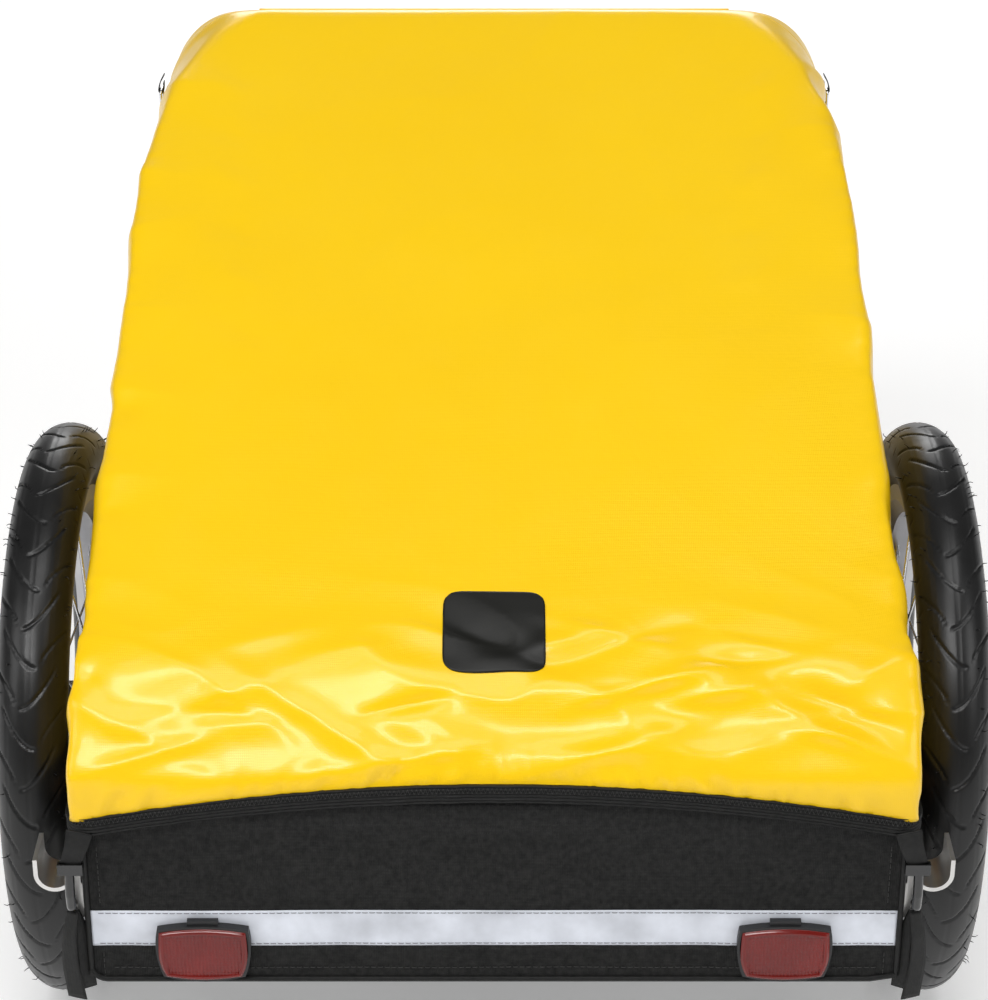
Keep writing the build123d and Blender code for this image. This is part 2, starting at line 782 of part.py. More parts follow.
with BuildPart() as hook_strap:
    block((-HOOK_X - 6, -HOOK_X + 14), (at(HOOK_Y) - 1, at(HOOK_Y) + 0.8), (236, HEM_CORNER_Z + 8))
    add(thick, mode=Mode.SUBTRACT)
    add(inner, mode=Mode.SUBTRACT)

with BuildPart() as hook:
    with BuildLine() as hook_path:
        FilletPolyline(
            (-HOOK_X, at(HOOK_Y) + 1, 233),
            (-HOOK_X, at(HOOK_Y) - 1.5, 216),
            (-HOOK_X, at(HOOK_Y) + 0.5, 204),
            (-HOOK_X, at(HOOK_Y) + 6.5, 204),
            radius=3.6,
        )
    with BuildSketch(Plane(origin=hook_path.line @ 0, z_dir=hook_path.line % 0)):
        Circle(3.2)
    sweep()
    block((-HOOK_X - 7, -HOOK_X + 9), (at(HOOK_Y) - 2.6, at(HOOK_Y) + 2.4), (231, 239))
    block(
        (-HOOK_X - 6, -HOOK_X + 14),
        (at(HOOK_Y) - 1, at(HOOK_Y) + 0.8),
        (236, 240),
        Mode.SUBTRACT,
    )
keep_both(hook, "hem_hooks")

with BuildPart() as hem_strap:
    add(hook_strap.part)
    with BuildSketch(Plane.XZ.offset(-at(HOOK_Y) - 4)):
        with BuildLine():
            Polyline(
                (-HOOK_X - 6, 200),
                (-HOOK_X + 5, 200),
                (-HOOK_X + 9, 168),
                (-HOOK_X + 4, 133),
                (-HOOK_X - 7, 131),
                (-HOOK_X - 9, 165),
                close=True,
            )
        make_face()
    extrude(amount=2)
keep_both(hem_strap, "hem_straps")

# ---------------------------------------------------------------- D-rings

RING_Y = 436
RING_Z = 515
RING_X = cover_half(RING_Y) + 5.5

with BuildPart() as ring_tab:
    wall_x = cover_half(RING_Y - 6)
    block((-RING_X - 2.4, -wall_x + 1.5), (at(RING_Y - 5), at(RING_Y + 5)), (RING_Z, RING_Z + 12))
    add(outer, mode=Mode.SUBTRACT)
    with BuildSketch(Plane.XZ.offset(-at(RING_Y + 6))):
        with Locations((-RING_X, RING_Z + 2.5)):
            Circle(1.15)
            with Locations((-RING_X, RING_Z + 1)):
                Rectangle(2.3, 3)
    extrude(amount=12, mode=Mode.SUBTRACT)
with BuildPart() as front_trim:
    add(front_hem.part)
    add(ring_tab.part)
    mirror(ring_tab.part, about=Plane.YZ)
keep(front_trim, "front_trim")

with BuildPart() as d_ring:
    with BuildLine() as ring_path:
        FilletPolyline(
            (-RING_X, at(RING_Y - 8), RING_Z + 2.5),
            (-RING_X, at(RING_Y + 8), RING_Z + 2.5),
            (-RING_X, at(RING_Y + 8), RING_Z - 12),
            (-RING_X, at(RING_Y - 8), RING_Z - 12),
            radius=2.4,
            close=True,
        )
    with BuildSketch(Plane(origin=ring_path.line @ 0, z_dir=ring_path.line % 0)):
        Circle(1.1)
    sweep()
keep_pair(d_ring, "d_ring")

# ---------------------------------------------------------------- tow bar

FORK_R = (RAIL_OUTER - RAIL_INNER) / 2
PLATE = 8
PIVOT = (TOW_X, at(TOW_PIVOT_Y))
PIVOT_R = 4


def upright(x, y, z0, z1, radius, mode=Mode.ADD):
    rod((x, y, z0), (x, y, z1), radius, mode)


LOCK_Y = PIVOT[1] - LOCK_RADIUS

with BuildPart() as tow_receiver:
    back_y = (at(RAIL_FRONT_Y), at(RAIL_FRONT_Y) + 16)
    xs = (-RAIL_OUTER, -RAIL_INNER)
    block(xs, back_y, (RAIL_BOTTOM, RAIL_TOP))
    for low in (RAIL_BOTTOM, RAIL_TOP - PLATE):
        block(xs, (back_y[1] - 1, PIVOT[1]), (low, low + PLATE))
        upright(PIVOT[0], PIVOT[1], low, low + PLATE, FORK_R)
    upright(PIVOT[0], PIVOT[1], RAIL_BOTTOM - 1, RAIL_TOP + 1, PIVOT_R, Mode.SUBTRACT)
    lock_hole = LOCK_R + PIN_GAP
    upright(PIVOT[0], LOCK_Y, RAIL_TOP - PLATE - 1, RAIL_TOP + 1, lock_hole, Mode.SUBTRACT)
keep(tow_receiver, "tow_receiver")

with BuildPart() as tow_bolt:
    upright(PIVOT[0], PIVOT[1], RAIL_BOTTOM, RAIL_TOP, PIVOT_R)
    for low, high in ((RAIL_BOTTOM - 6, RAIL_BOTTOM), (RAIL_TOP, RAIL_TOP + 5)):
        with BuildSketch(Plane.XY.offset(low)):
            with Locations(PIVOT):
                RegularPolygon(7.5, 6)
        extrude(amount=high - low)
keep(tow_bolt, "tow_pivot_bolt")

KNUCKLE_LOW = RAIL_BOTTOM + PLATE + RUN_GAP
KNUCKLE_HIGH = RAIL_TOP - PLATE - RUN_GAP
SLOT_DEPTH = 10
SOCKET_Y = PIVOT[1] + 42

with BuildPart() as tow_knuckle:
    upright(PIVOT[0], PIVOT[1], KNUCKLE_LOW, KNUCKLE_HIGH, FORK_R - 0.5)
    block(
        (PIVOT[0] - FORK_R + 0.5, PIVOT[0] + FORK_R - 0.5),
        (PIVOT[1], PIVOT[1] + 24),
        (KNUCKLE_LOW, KNUCKLE_HIGH),
    )
    rod((PIVOT[0], PIVOT[1] + 20, TOW_Z), (PIVOT[0], SOCKET_Y, TOW_Z), TOW_R + 2.5)
    rod((PIVOT[0], PIVOT[1] + 26, TOW_Z), (PIVOT[0], SOCKET_Y + 1, TOW_Z), TOW_R, Mode.SUBTRACT)
    upright(PIVOT[0], PIVOT[1], KNUCKLE_LOW - 1, KNUCKLE_HIGH + 1, PIVOT_R + PIN_GAP, Mode.SUBTRACT)
    lead = math.degrees(math.asin((LOCK_R + 0.1) / LOCK_RADIUS))
    with BuildSketch(Plane.XY.offset(KNUCKLE_HIGH - SLOT_DEPTH)):
        with Locations(PIVOT):
            start_angle = -90 - lead - 1
            sweep_angle = TOW_SWING + 2 * lead + 2
            turns = [math.radians(start_angle + sweep_angle * i / 16) for i in range(17)]
            outer_r = LOCK_RADIUS + LOCK_R + 0.1
            inner_r = LOCK_RADIUS - LOCK_R - 0.1
            slot = [(outer_r * math.cos(a), outer_r * math.sin(a)) for a in turns]
            slot += [(inner_r * math.cos(a), inner_r * math.sin(a)) for a in turns[::-1]]
            Polygon(*slot, align=None)
    extrude(amount=SLOT_DEPTH + 1, mode=Mode.SUBTRACT)
keep(tow_knuckle, "tow_knuckle")

with BuildPart() as lock_pin:
    upright(PIVOT[0], LOCK_Y, KNUCKLE_HIGH - SLOT_DEPTH + 1, RAIL_TOP + 12, LOCK_R)
    upright(PIVOT[0], LOCK_Y, RAIL_TOP + 0.5, RAIL_TOP + 5, 3.6)
    with BuildSketch(Plane(origin=(PIVOT[0], LOCK_Y, RAIL_TOP + 20), z_dir=(0, 1, 0))):
        Circle(10)
        Circle(7.6, mode=Mode.SUBTRACT)
    extrude(amount=1.2, both=True)
keep(lock_pin, "lock_pin")

TIP = (TOW_TIP_X, at(TOW_TIP_Y), TOW_TIP_Z)

with BuildPart() as tow_tube:
    with BuildLine() as tow_path:
        FilletPolyline(
            (PIVOT[0], PIVOT[1] + 26, TOW_Z),
            (PIVOT[0], PIVOT[1] + 110, TOW_Z),
            (TIP[0], TIP[1] - 70, TIP[2]),
            TIP,
            radius=60,
        )
    with BuildSketch(Plane(origin=tow_path.line @ 0, z_dir=tow_path.line % 0)):
        Circle(TOW_R)
        Circle(TOW_R - 2, mode=Mode.SUBTRACT)
    sweep()
keep(tow_tube, "tow_tube")

YAW_Y = TIP[1] + 22
PITCH_Y = YAW_Y + 32
PIN_R = 4
TONGUE = 9
TRUNNION = 17


def along_x(y, x0, x1, radius, mode=Mode.ADD):
    rod((TIP[0] + x0, y, TIP[2]), (TIP[0] + x1, y, TIP[2]), radius, mode)


def hitch_block(x, y, z, mode=Mode.ADD):
    block(
        (TIP[0] + x[0], TIP[0] + x[1]),
        y,
        (TIP[2] + z[0], TIP[2] + z[1]),
        mode,
    )


with BuildPart() as flex_fork:
    rod((TIP[0], TIP[1] - 22, TIP[2]), (TIP[0], TIP[1] - 0.01, TIP[2]), TOW_R + 3)
    rod((TIP[0], TIP[1] - 23, TIP[2]), (TIP[0], TIP[1], TIP[2]), TOW_R, Mode.SUBTRACT)
    rod((TIP[0], TIP[1], TIP[2]), (TIP[0], TIP[1] + 8, TIP[2]), TOW_R + 3)
    for low in (-TONGUE - RUN_GAP - 6, TONGUE + RUN_GAP):
        hitch_block((-12, 12), (TIP[1] + 7, YAW_Y), (low, low + 6))
        upright(TIP[0], YAW_Y, TIP[2] + low, TIP[2] + low + 6, 12)
    upright(TIP[0], YAW_Y, TIP[2] - 20, TIP[2] + 20, PIN_R + PIN_GAP, Mode.SUBTRACT)
keep(flex_fork, "hitch_fork")

with BuildPart() as coupler:
    upright(TIP[0], YAW_Y, TIP[2] - TONGUE, TIP[2] + TONGUE, 10)
    hitch_block((-TONGUE, TONGUE), (YAW_Y, PITCH_Y), (-TONGUE, TONGUE))
    along_x(PITCH_Y, -TONGUE, TONGUE, 10)
    upright(TIP[0], YAW_Y, TIP[2] - TRUNNION, TIP[2] + TRUNNION, PIN_R)
    along_x(PITCH_Y, -TRUNNION, TRUNNION, PIN_R)
keep(coupler, "flex_coupler")

ARM_END = at(FRONT_REACH)
HITCH_PIN_Y = ARM_END - 14

with BuildPart() as hitch_arm:
    for low in (-TONGUE - RUN_GAP - 6, TONGUE + RUN_GAP):
        along_x(PITCH_Y, low, low + 6, 11)
        hitch_block((low, low + 6), (PITCH_Y, PITCH_Y + 14), (-11, 11))
    hitch_block((-TONGUE - 6.3, TONGUE + 6.3), (PITCH_Y + 13, ARM_END), (-11, 11))
    fillet(hitch_arm.edges().filter_by(Axis.Z).sort_by(Axis.Y)[-2:], 6)
    along_x(PITCH_Y, -20, 20, PIN_R + PIN_GAP, Mode.SUBTRACT)
    upright(TIP[0], HITCH_PIN_Y, TIP[2] - 20, TIP[2] + 20, PIN_R + PIN_GAP, Mode.SUBTRACT)
    hitch_block((-TONGUE, TONGUE), (PITCH_Y + 25, ARM_END + 1), (-5, 5), Mode.SUBTRACT)
keep(hitch_arm, "hitch_arm")

with BuildPart() as hitch_pin:
    upright(TIP[0], HITCH_PIN_Y, TIP[2] - 18, TIP[2] + 16, PIN_R)
    upright(TIP[0], HITCH_PIN_Y, TIP[2] + 11.5, TIP[2] + 17, 7)
    with BuildSketch(Plane(origin=(TIP[0], HITCH_PIN_Y, TIP[2] + 26), z_dir=(0, 1, 0))):
        Circle(10)
        Circle(7.6, mode=Mode.SUBTRACT)
    extrude(amount=1.2, both=True)
keep(hitch_pin, "hitch_pin")
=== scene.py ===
import math
import random

import bmesh
import bpy
import numpy as np
from mathutils import Matrix, Vector, noise
from mathutils.bvhtree import BVHTree


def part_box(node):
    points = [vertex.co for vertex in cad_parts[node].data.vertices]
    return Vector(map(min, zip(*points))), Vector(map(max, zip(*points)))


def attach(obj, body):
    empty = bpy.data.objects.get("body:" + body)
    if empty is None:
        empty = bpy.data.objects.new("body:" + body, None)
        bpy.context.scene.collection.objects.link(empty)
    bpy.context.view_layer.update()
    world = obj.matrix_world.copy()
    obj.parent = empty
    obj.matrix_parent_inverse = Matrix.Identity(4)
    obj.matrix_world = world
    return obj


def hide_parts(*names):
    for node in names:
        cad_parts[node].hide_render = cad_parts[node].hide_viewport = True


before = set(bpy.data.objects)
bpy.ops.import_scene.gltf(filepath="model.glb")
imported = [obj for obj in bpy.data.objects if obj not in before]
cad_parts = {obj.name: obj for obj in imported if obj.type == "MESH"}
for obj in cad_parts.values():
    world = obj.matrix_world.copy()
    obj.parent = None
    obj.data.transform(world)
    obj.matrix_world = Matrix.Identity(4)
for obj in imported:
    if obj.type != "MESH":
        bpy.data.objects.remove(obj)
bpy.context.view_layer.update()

# ------------------------------------------------------------------ shared sizes, metres

# A y written here counts forward from the axle. at() turns it into the frame's own y.

low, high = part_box("left_tyre")
AXLE = Vector((0, (low[1] + high[1]) / 2, (low[2] + high[2]) / 2))
TYRE_X = (low[0] + high[0]) / 2
TYRE_R = (high[2] - low[2]) / 2
REAR_Y = -0.254
SEAM_Y = 0.430
NOSE_Y = 0.591
HALF_REAR, HALF_FRONT = 0.272, 0.260
HEM_CORNER, HEM_CENTRE, HEM_H = 0.254, 0.284, 0.012
FOLD = (-0.203, 0.353)
PEAK = (0.418, 0.590)
RISE = (PEAK[1] - FOLD[1]) / (PEAK[0] - FOLD[0])
PROFILE = (
    (REAR_Y, 0.190), (REAR_Y, 0.298), FOLD, PEAK, (0.452, 0.578), (0.585, 0.262), (NOSE_Y, 0.190),
)
CLOTH = 0.0016


def at(y):
    return y + AXLE.y


def half(y):
    """Half the cover's width at y: it narrows towards the front."""
    return HALF_REAR - (y - REAR_Y) * (HALF_REAR - HALF_FRONT) / (NOSE_Y - REAR_Y)


def hem_z(x):
    """Lower edge of the hem at x: an arc, low at the corners and high in the middle."""
    return HEM_CENTRE - (HEM_CENTRE - HEM_CORNER) * np.minimum(1.0, (x / 0.28) ** 2)


def ramp(a, b, x):
    """Runs smoothly from 0 at a to 1 at b. x may be a number or an array."""
    t = np.clip((x - a) / (b - a), 0, 1)
    return t * t * (3 - 2 * t)


# ------------------------------------------------------------------ mesh helpers


def new_mesh(name, verts, faces, material):
    mesh = bpy.data.meshes.new(name)
    mesh.from_pydata([tuple(v) for v in verts], [], faces)
    mesh.validate()
    mesh.update()
    obj = bpy.data.objects.new(name, mesh)
    bpy.context.collection.objects.link(obj)
    if material:
        mesh.materials.append(material)
    mesh.polygons.foreach_set("use_smooth", [True] * len(mesh.polygons))
    return obj


def baked(obj):
    """Applies an object's modifiers to its mesh."""
    graph = bpy.context.evaluated_depsgraph_get()
    mesh = bpy.data.meshes.new_from_object(obj.evaluated_get(graph))
    obj.modifiers.clear()
    obj.data = mesh
    return obj


def modifier(obj, kind, **values):
    m = obj.modifiers.new(kind.lower(), kind)
    for key, value in values.items():
        setattr(m, key, value)


class Pile:
    """Collects many small solids into one mesh."""

    def __init__(self):
        self.verts, self.faces = [], []

    def add(self, verts, faces):
        base = len(self.verts)
        self.verts += [Vector(v) for v in verts]
        self.faces += [tuple(base + i for i in f) for f in faces]

    def tube(self, path, radius, sides=6, up=Vector((0, 0, 1))):
        """A round bar along a list of points. radius may be one number or one per point."""
        path = [Vector(p) for p in path]
        n = len(path)
        rings = []
        for i, p in enumerate(path):
            way = (path[min(i + 1, n - 1)] - path[max(i - 1, 0)]).normalized()
            side = way.cross(up)
            if side.length < 1e-4:
                side = way.cross(Vector((0, 1, 0.1)))
            side.normalize()
            top = side.cross(way).normalized()
            r = radius[i] if isinstance(radius, (list, tuple)) else radius
            turns = [2 * math.pi * k / sides for k in range(sides)]
            rings.append([p + side * math.cos(t) * r + top * math.sin(t) * r for t in turns])
        faces = []
        for i in range(n - 1):
            for k in range(sides):
                a, b = i * sides + k, i * sides + (k + 1) % sides
                faces.append((a, b, b + sides, a + sides))
        faces.append(tuple(range(sides))[::-1])
        faces.append(tuple((n - 1) * sides + k for k in range(sides)))
        self.add([v for ring in rings for v in ring], faces)

    def make(self, name, material):
        return new_mesh(name, self.verts, self.faces, material)


def sweep(name, path, section, normals, material):
    """Sweeps a closed (out, up) section along a path. normals point outward at each path point."""
    m, n = len(section), len(path)
    verts = []
    for p, normal in zip(path, normals):
        for out, up in section:
            verts.append(Vector(p) + normal * out + Vector((0, 0, up)))
    faces = []
    for i in range(n - 1):
        for k in range(m):
            a, b = i * m + k, i * m + (k + 1) % m
            faces.append((a, b, b + m, a + m))
    faces.append(tuple(range(m))[::-1])
    faces.append(tuple((n - 1) * m + k for k in range(m)))
    obj = new_mesh(name, verts, faces, material)
    fix_normals(obj)
    return obj


def fix_normals(obj):
    """Turns all of a closed mesh's faces outward."""
    bm = bmesh.new()
    bm.from_mesh(obj.data)
    bmesh.ops.recalc_face_normals(bm, faces=bm.faces)
    bm.to_mesh(obj.data)
    bm.free()


# ------------------------------------------------------------------ materials


class Surface:
    """A Principled material whose colour, roughness and bump come from procedural nodes."""

    def __init__(self, name, color, roughness, **sockets):
        self.mat = bpy.data.materials.new(name)
        self.mat.use_nodes = True
        self.tree = self.mat.node_tree
        self.shader = self.tree.nodes["Principled BSDF"]
        self.shader.inputs["Base Color"].default_value = (*color, 1)
        self.shader.inputs["Roughness"].default_value = roughness
        self.color, self.height = color, None
        for key, value in sockets.items():
            self.shader.inputs[key.replace("_", " ")].default_value = value
        self.coords = self.node("ShaderNodeTexCoord").outputs["Object"]

    def node(self, kind, **values):
        n = self.tree.nodes.new(kind)
        for key, value in values.items():
            setattr(n, key, value)
        return n

    def link(self, a, b):
        self.tree.links.new(a, b)

    def math(self, op, a, b=0.0):
        n = self.node("ShaderNodeMath", operation=op)
        for i, v in enumerate((a, b)):
            if isinstance(v, (int, float)):
                n.inputs[i].default_value = v
            else:
                self.link(v, n.inputs[i])
        return n.outputs[0]

    def noise(self, scale, detail=3.0, rough=0.5, stretch=(1, 1, 1)):
        place = self.node("ShaderNodeMapping")
        self.link(self.coords, place.inputs["Vector"])
        place.inputs["Scale"].default_value = stretch
        n = self.node("ShaderNodeTexNoise")
        self.link(place.outputs[0], n.inputs["Vector"])
        n.inputs["Scale"].default_value = scale
        n.inputs["Detail"].default_value = detail
        n.inputs["Roughness"].default_value = rough
        return n.outputs[0]

    def lines(self, axis, pitch):
        """Sine ridges across one axis, pitch metres apart."""
        split = self.node("ShaderNodeSeparateXYZ")
        self.link(self.coords, split.inputs[0])
        wave = self.math("SINE", self.math("MULTIPLY", split.outputs[axis], 2 * math.pi / pitch))
        return self.math("ADD", self.math("MULTIPLY", wave, 0.5), 0.5)

    def bump(self, height, distance, strength=1.0):
        """Adds a bump on top of those already there."""
        n = self.node("ShaderNodeBump")
        n.inputs["Strength"].default_value = strength
        n.inputs["Distance"].default_value = distance
        self.link(height, n.inputs["Height"])
        if self.height is not None:
            self.link(self.height, n.inputs["Normal"])
        self.height = n.outputs[0]
        self.link(self.height, self.shader.inputs["Normal"])
        return self

    def tone(self, value, dark, light=None):
        """Colour runs from dark to light with a 0 to 1 value."""
        ramp = self.node("ShaderNodeValToRGB")
        ramp.color_ramp.elements[0].color = (*dark, 1)
        ramp.color_ramp.elements[0].position = 0.3
        ramp.color_ramp.elements[1].color = (*(light or self.color), 1)
        ramp.color_ramp.elements[1].position = 0.7
        self.link(value, ramp.inputs[0])
        self.link(ramp.outputs[0], self.shader.inputs["Base Color"])
        return self

    def rough(self, value, low, high):
        """Roughness runs from low to high with a 0 to 1 value."""
        n = self.node("ShaderNodeMapRange")
        n.inputs["To Min"].default_value = low
        n.inputs["To Max"].default_value = high
        self.link(value, n.inputs["Value"])
        self.link(n.outputs[0], self.shader.inputs["Roughness"])
        return self


def woven(name, color, roughness, pitch, depth, dark, **sockets):
    """Cloth whose threads are pitch metres apart and stand depth metres high."""
    s = Surface(name, color, roughness, **sockets)
    warp = s.lines(0, pitch)
    weft = s.math("MAXIMUM", s.lines(1, pitch), s.lines(2, pitch))
    s.tone(s.noise(260, 3), dark)
    s.rough(s.noise(90, 2), roughness - 0.06, roughness + 0.06)
    s.bump(s.noise(700, 2), depth * 0.8)
    s.bump(s.math("MULTIPLY", warp, weft), depth)
    return s.mat


def coated_yellow():
    """Shiny coated cover cloth with a fine thread grid showing through."""
    s = Surface(
        "coated_yellow", (0.96, 0.60, 0.0015), 0.3,
        Coat_Weight=0.22, Coat_Roughness=0.14, Specular_IOR_Level=0.36,
    )
    s.tone(s.noise(5, 3), (0.945, 0.585, 0.001), (0.965, 0.61, 0.002))
    s.rough(s.noise(30, 4), 0.25, 0.38)
    s.bump(s.noise(55, 3, 0.6), 0.0006, 0.4)
    across, along, up = (s.lines(axis, 0.0012) for axis in range(3))
    grid = s.math("MAXIMUM", across, s.math("MAXIMUM", along, up))
    s.bump(s.math("POWER", grid, 3), 0.00006, 0.6)
    return s.mat


def metal(name, color, roughness, stretch=(1, 1, 1)):
    """Bare metal. A small stretch along one axis draws the grain out that way."""
    s = Surface(name, color, roughness, Metallic=1.0)
    grain = s.noise(500, 4, 0.6, stretch)
    s.tone(s.noise(40, 3), tuple(c * 0.82 for c in color))
    s.rough(grain, roughness - 0.08, roughness + 0.12)
    s.bump(grain, 0.00003)
    return s.mat


def moulded(name, color, roughness, depth=0.00008, **sockets):
    """Plastic, rubber, thread or print with a fine grain depth metres high."""
    s = Surface(name, color, roughness, **sockets)
    s.tone(s.noise(35, 4), tuple(c * 0.7 for c in color))
    s.rough(s.noise(60, 4), roughness - 0.06, roughness + 0.1)
    s.bump(s.noise(900, 2), depth)
    return s.mat


YELLOW = coated_yellow()
BLACK_CLOTH = woven(
    "black_600_weave", (0.016, 0.016, 0.015), 0.8, 0.0011, 0.0003, (0.003, 0.003, 0.003),
    Sheen_Weight=0.05, Sheen_Roughness=0.5, Specular_IOR_Level=0.25,
)
SIDE_YELLOW = woven("side_cloth_yellow", (0.72, 0.33, 0.01), 0.6, 0.0012, 0.00015, (0.6, 0.25, 0.008))
BINDING = woven(
    "black_binding", (0.009, 0.009, 0.008), 0.5, 0.0007, 0.00012, (0.003, 0.003, 0.003),
    Specular_IOR_Level=0.3,
)
THREAD = moulded("thread_black", (0.035, 0.035, 0.033), 0.5)
THREAD_GREY = moulded("thread_grey", (0.2, 0.2, 0.22), 0.6)
PATCH = moulded("patch_print", (0.008, 0.008, 0.006), 0.42, 0.00006, Specular_IOR_Level=0.3)
LENS = moulded(
    "lens_red", (0.19, 0.008, 0.005), 0.16, 0.00002, Coat_Weight=0.25, Specular_IOR_Level=0.3,
)
TAPE = moulded("reflective_tape", (0.76, 0.79, 0.86), 0.42, 0.00004, Metallic=0.1)
RUBBER = moulded("tyre_rubber", (0.008, 0.008, 0.008), 0.34, 0.00004, Specular_IOR_Level=0.4)
TUBE_RUBBER = moulded("tube_rubber", (0.02, 0.02, 0.02), 0.55)
SATIN_BLACK = moulded("plastic_satin", (0.016, 0.016, 0.017), 0.45)
GLOSS_BLACK = moulded("plastic_gloss", (0.008, 0.008, 0.008), 0.16, 0.00002, Coat_Weight=0.5)
GREY_PLASTIC = moulded("plastic_grey", (0.045, 0.045, 0.05), 0.5)
BRUSHED = metal("brushed_aluminium", (0.72, 0.71, 0.69), 0.36, (1, 0.03, 1))
ANODISED = metal("anodised_rim", (0.5, 0.5, 0.52), 0.34)
STEEL = metal("bright_steel", (0.74, 0.74, 0.75), 0.22)
POWDER = moulded("powder_coat", (0.02, 0.02, 0.021), 0.5, 0.00012)
BOARD = moulded("floor_sheet", (0.03, 0.03, 0.03), 0.6)

# Finish of each CAD node that stays visible, by its name without left_ or right_
NODE_MATERIALS = {
    "rails": BRUSHED, "rail_brackets": BRUSHED, "cross_tubes": BRUSHED, "side_frame": BRUSHED,
    "front_hoop": BRUSHED, "rear_bow": BRUSHED, "tow_receiver": BRUSHED, "hitch_fork": BRUSHED,
    "rim": ANODISED, "hub": SATIN_BLACK, "bearings": STEEL, "spokes": STEEL, "axle": STEEL,
    "axle_receivers": STEEL, "axle_button": GREY_PLASTIC, "hinge_pins": STEEL,
    "hinge_lugs": SATIN_BLACK, "hinge_knuckles": SATIN_BLACK, "bow_saddle": SATIN_BLACK,
    "hoop_feet": SATIN_BLACK, "rail_plugs": GREY_PLASTIC, "bracket_bolts": STEEL,
    "tow_pivot_bolt": STEEL, "tow_knuckle": SATIN_BLACK, "lock_pin": STEEL, "tow_tube": POWDER,
    "flex_coupler": TUBE_RUBBER, "hitch_arm": STEEL, "hitch_pin": STEEL, "d_ring": STEEL,
    "inner_tube": TUBE_RUBBER, "floor_board": BOARD, "reflector_housings": SATIN_BLACK,
    "hem_hooks": GLOSS_BLACK,
}
for name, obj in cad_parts.items():
    base = name.replace("left_", "").replace("right_", "")
    if base in NODE_MATERIALS:
        obj.data.materials.clear()
        obj.data.materials.append(NODE_MATERIALS[base])

# ------------------------------------------------------------------ camera, floor and light

# The camera looks down by PITCH. DEPTH and DROP place the axle's middle along and across the line
# of sight, and FOCAL is the lens's length in sensor widths.
PITCH = math.radians(27)
DEPTH, DROP, FOCAL = 2.09, -0.147, 2.9
ahead = Vector((0, math.cos(PITCH), -math.sin(PITCH)))
above = Vector((0, math.sin(PITCH), math.cos(PITCH)))
cam_data = bpy.data.cameras.new("camera")
cam_data.sensor_width = 36
cam_data.lens = FOCAL * cam_data.sensor_width
cam = bpy.data.objects.new("camera", cam_data)
bpy.context.collection.objects.link(cam)
cam.location = AXLE - ahead * DEPTH - above * DROP
cam.rotation_euler = (math.pi / 2 - PITCH, 0, 0)
bpy.context.scene.camera = cam
bpy.context.scene.view_settings.view_transform = "Standard"

FLOOR_HALF = 40
floor_corners = [
    (x * FLOOR_HALF, y * FLOOR_HALF, 0) for x, y in ((-1, -1), (1, -1), (1, 1), (-1, 1))
]
floor = new_mesh("floor", floor_corners, [(0, 1, 2, 3)], None)
floor_look = Surface("floor_pale", (0.86, 0.86, 0.86), 0.9)
floor_look.tone(floor_look.noise(2, 2), (0.85, 0.85, 0.85))
# The lamps light only the middle of the floor, so its own glow rises with distance
floor_look.shader.inputs["Emission Color"].default_value = (1, 1, 1, 1)
distance = floor_look.node("ShaderNodeVectorMath", operation="LENGTH")
glow = floor_look.node("ShaderNodeMapRange")
glow.inputs["From Min"].default_value = 3.0
glow.inputs["From Max"].default_value = 8.0
glow.inputs["To Min"].default_value = 0.3
glow.inputs["To Max"].default_value = 0.68
floor_look.link(floor_look.coords, distance.inputs[0])
floor_look.link(distance.outputs["Value"], glow.inputs["Value"])
floor_look.link(glow.outputs[0], floor_look.shader.inputs["Emission Strength"])
floor.data.materials.append(floor_look.mat)

world = bpy.data.worlds.new("studio")
bpy.context.scene.world = world
world.use_nodes = True
world.node_tree.nodes["Background"].inputs[0].default_value = (1, 1, 1, 1)
world.node_tree.nodes["Background"].inputs[1].default_value = 0.16


def soft_light(name, place, target, size, power):
    """A rectangular lamp at place that points at target. power is in watts."""
    data = bpy.data.lights.new(name, "AREA")
    data.shape = "RECTANGLE"
    data.size, data.size_y = size
    data.energy = power
    lamp = bpy.data.objects.new(name, data)
    bpy.context.collection.objects.link(lamp)
    lamp.location = place
    lamp.rotation_euler = (Vector(target) - Vector(place)).to_track_quat("-Z", "Y").to_euler()


soft_light("key", (-0.5, -2.3, 2.7), (0, -0.5, 0.3), (1.7, 0.5), 42)
soft_light("fill_left", (-2.3, -1.5, 1.7), (0, -0.3, 0.3), (1.2, 1.4), 16)
soft_light("fill_right", (2.3, -1.7, 1.9), (0, -0.3, 0.3), (1.2, 1.4), 18)
soft_light("overhead", (0.3, -0.9, 3.4), (0, -0.1, 0.3), (2.2, 1.0), 29)
soft_light("front", (0, 2.8, 1.5), (0, 0.2, 0.4), (2.0, 1.0), 32)

# ------------------------------------------------------------------ cover

rng = random.Random(7)
CORNER_R = 0.09
CORNER_Z = PEAK[1] - CORNER_R


def top_z(y):
    """Height of the cover's sloping top at y."""
    return FOLD[1] + (y - FOLD[0]) * RISE


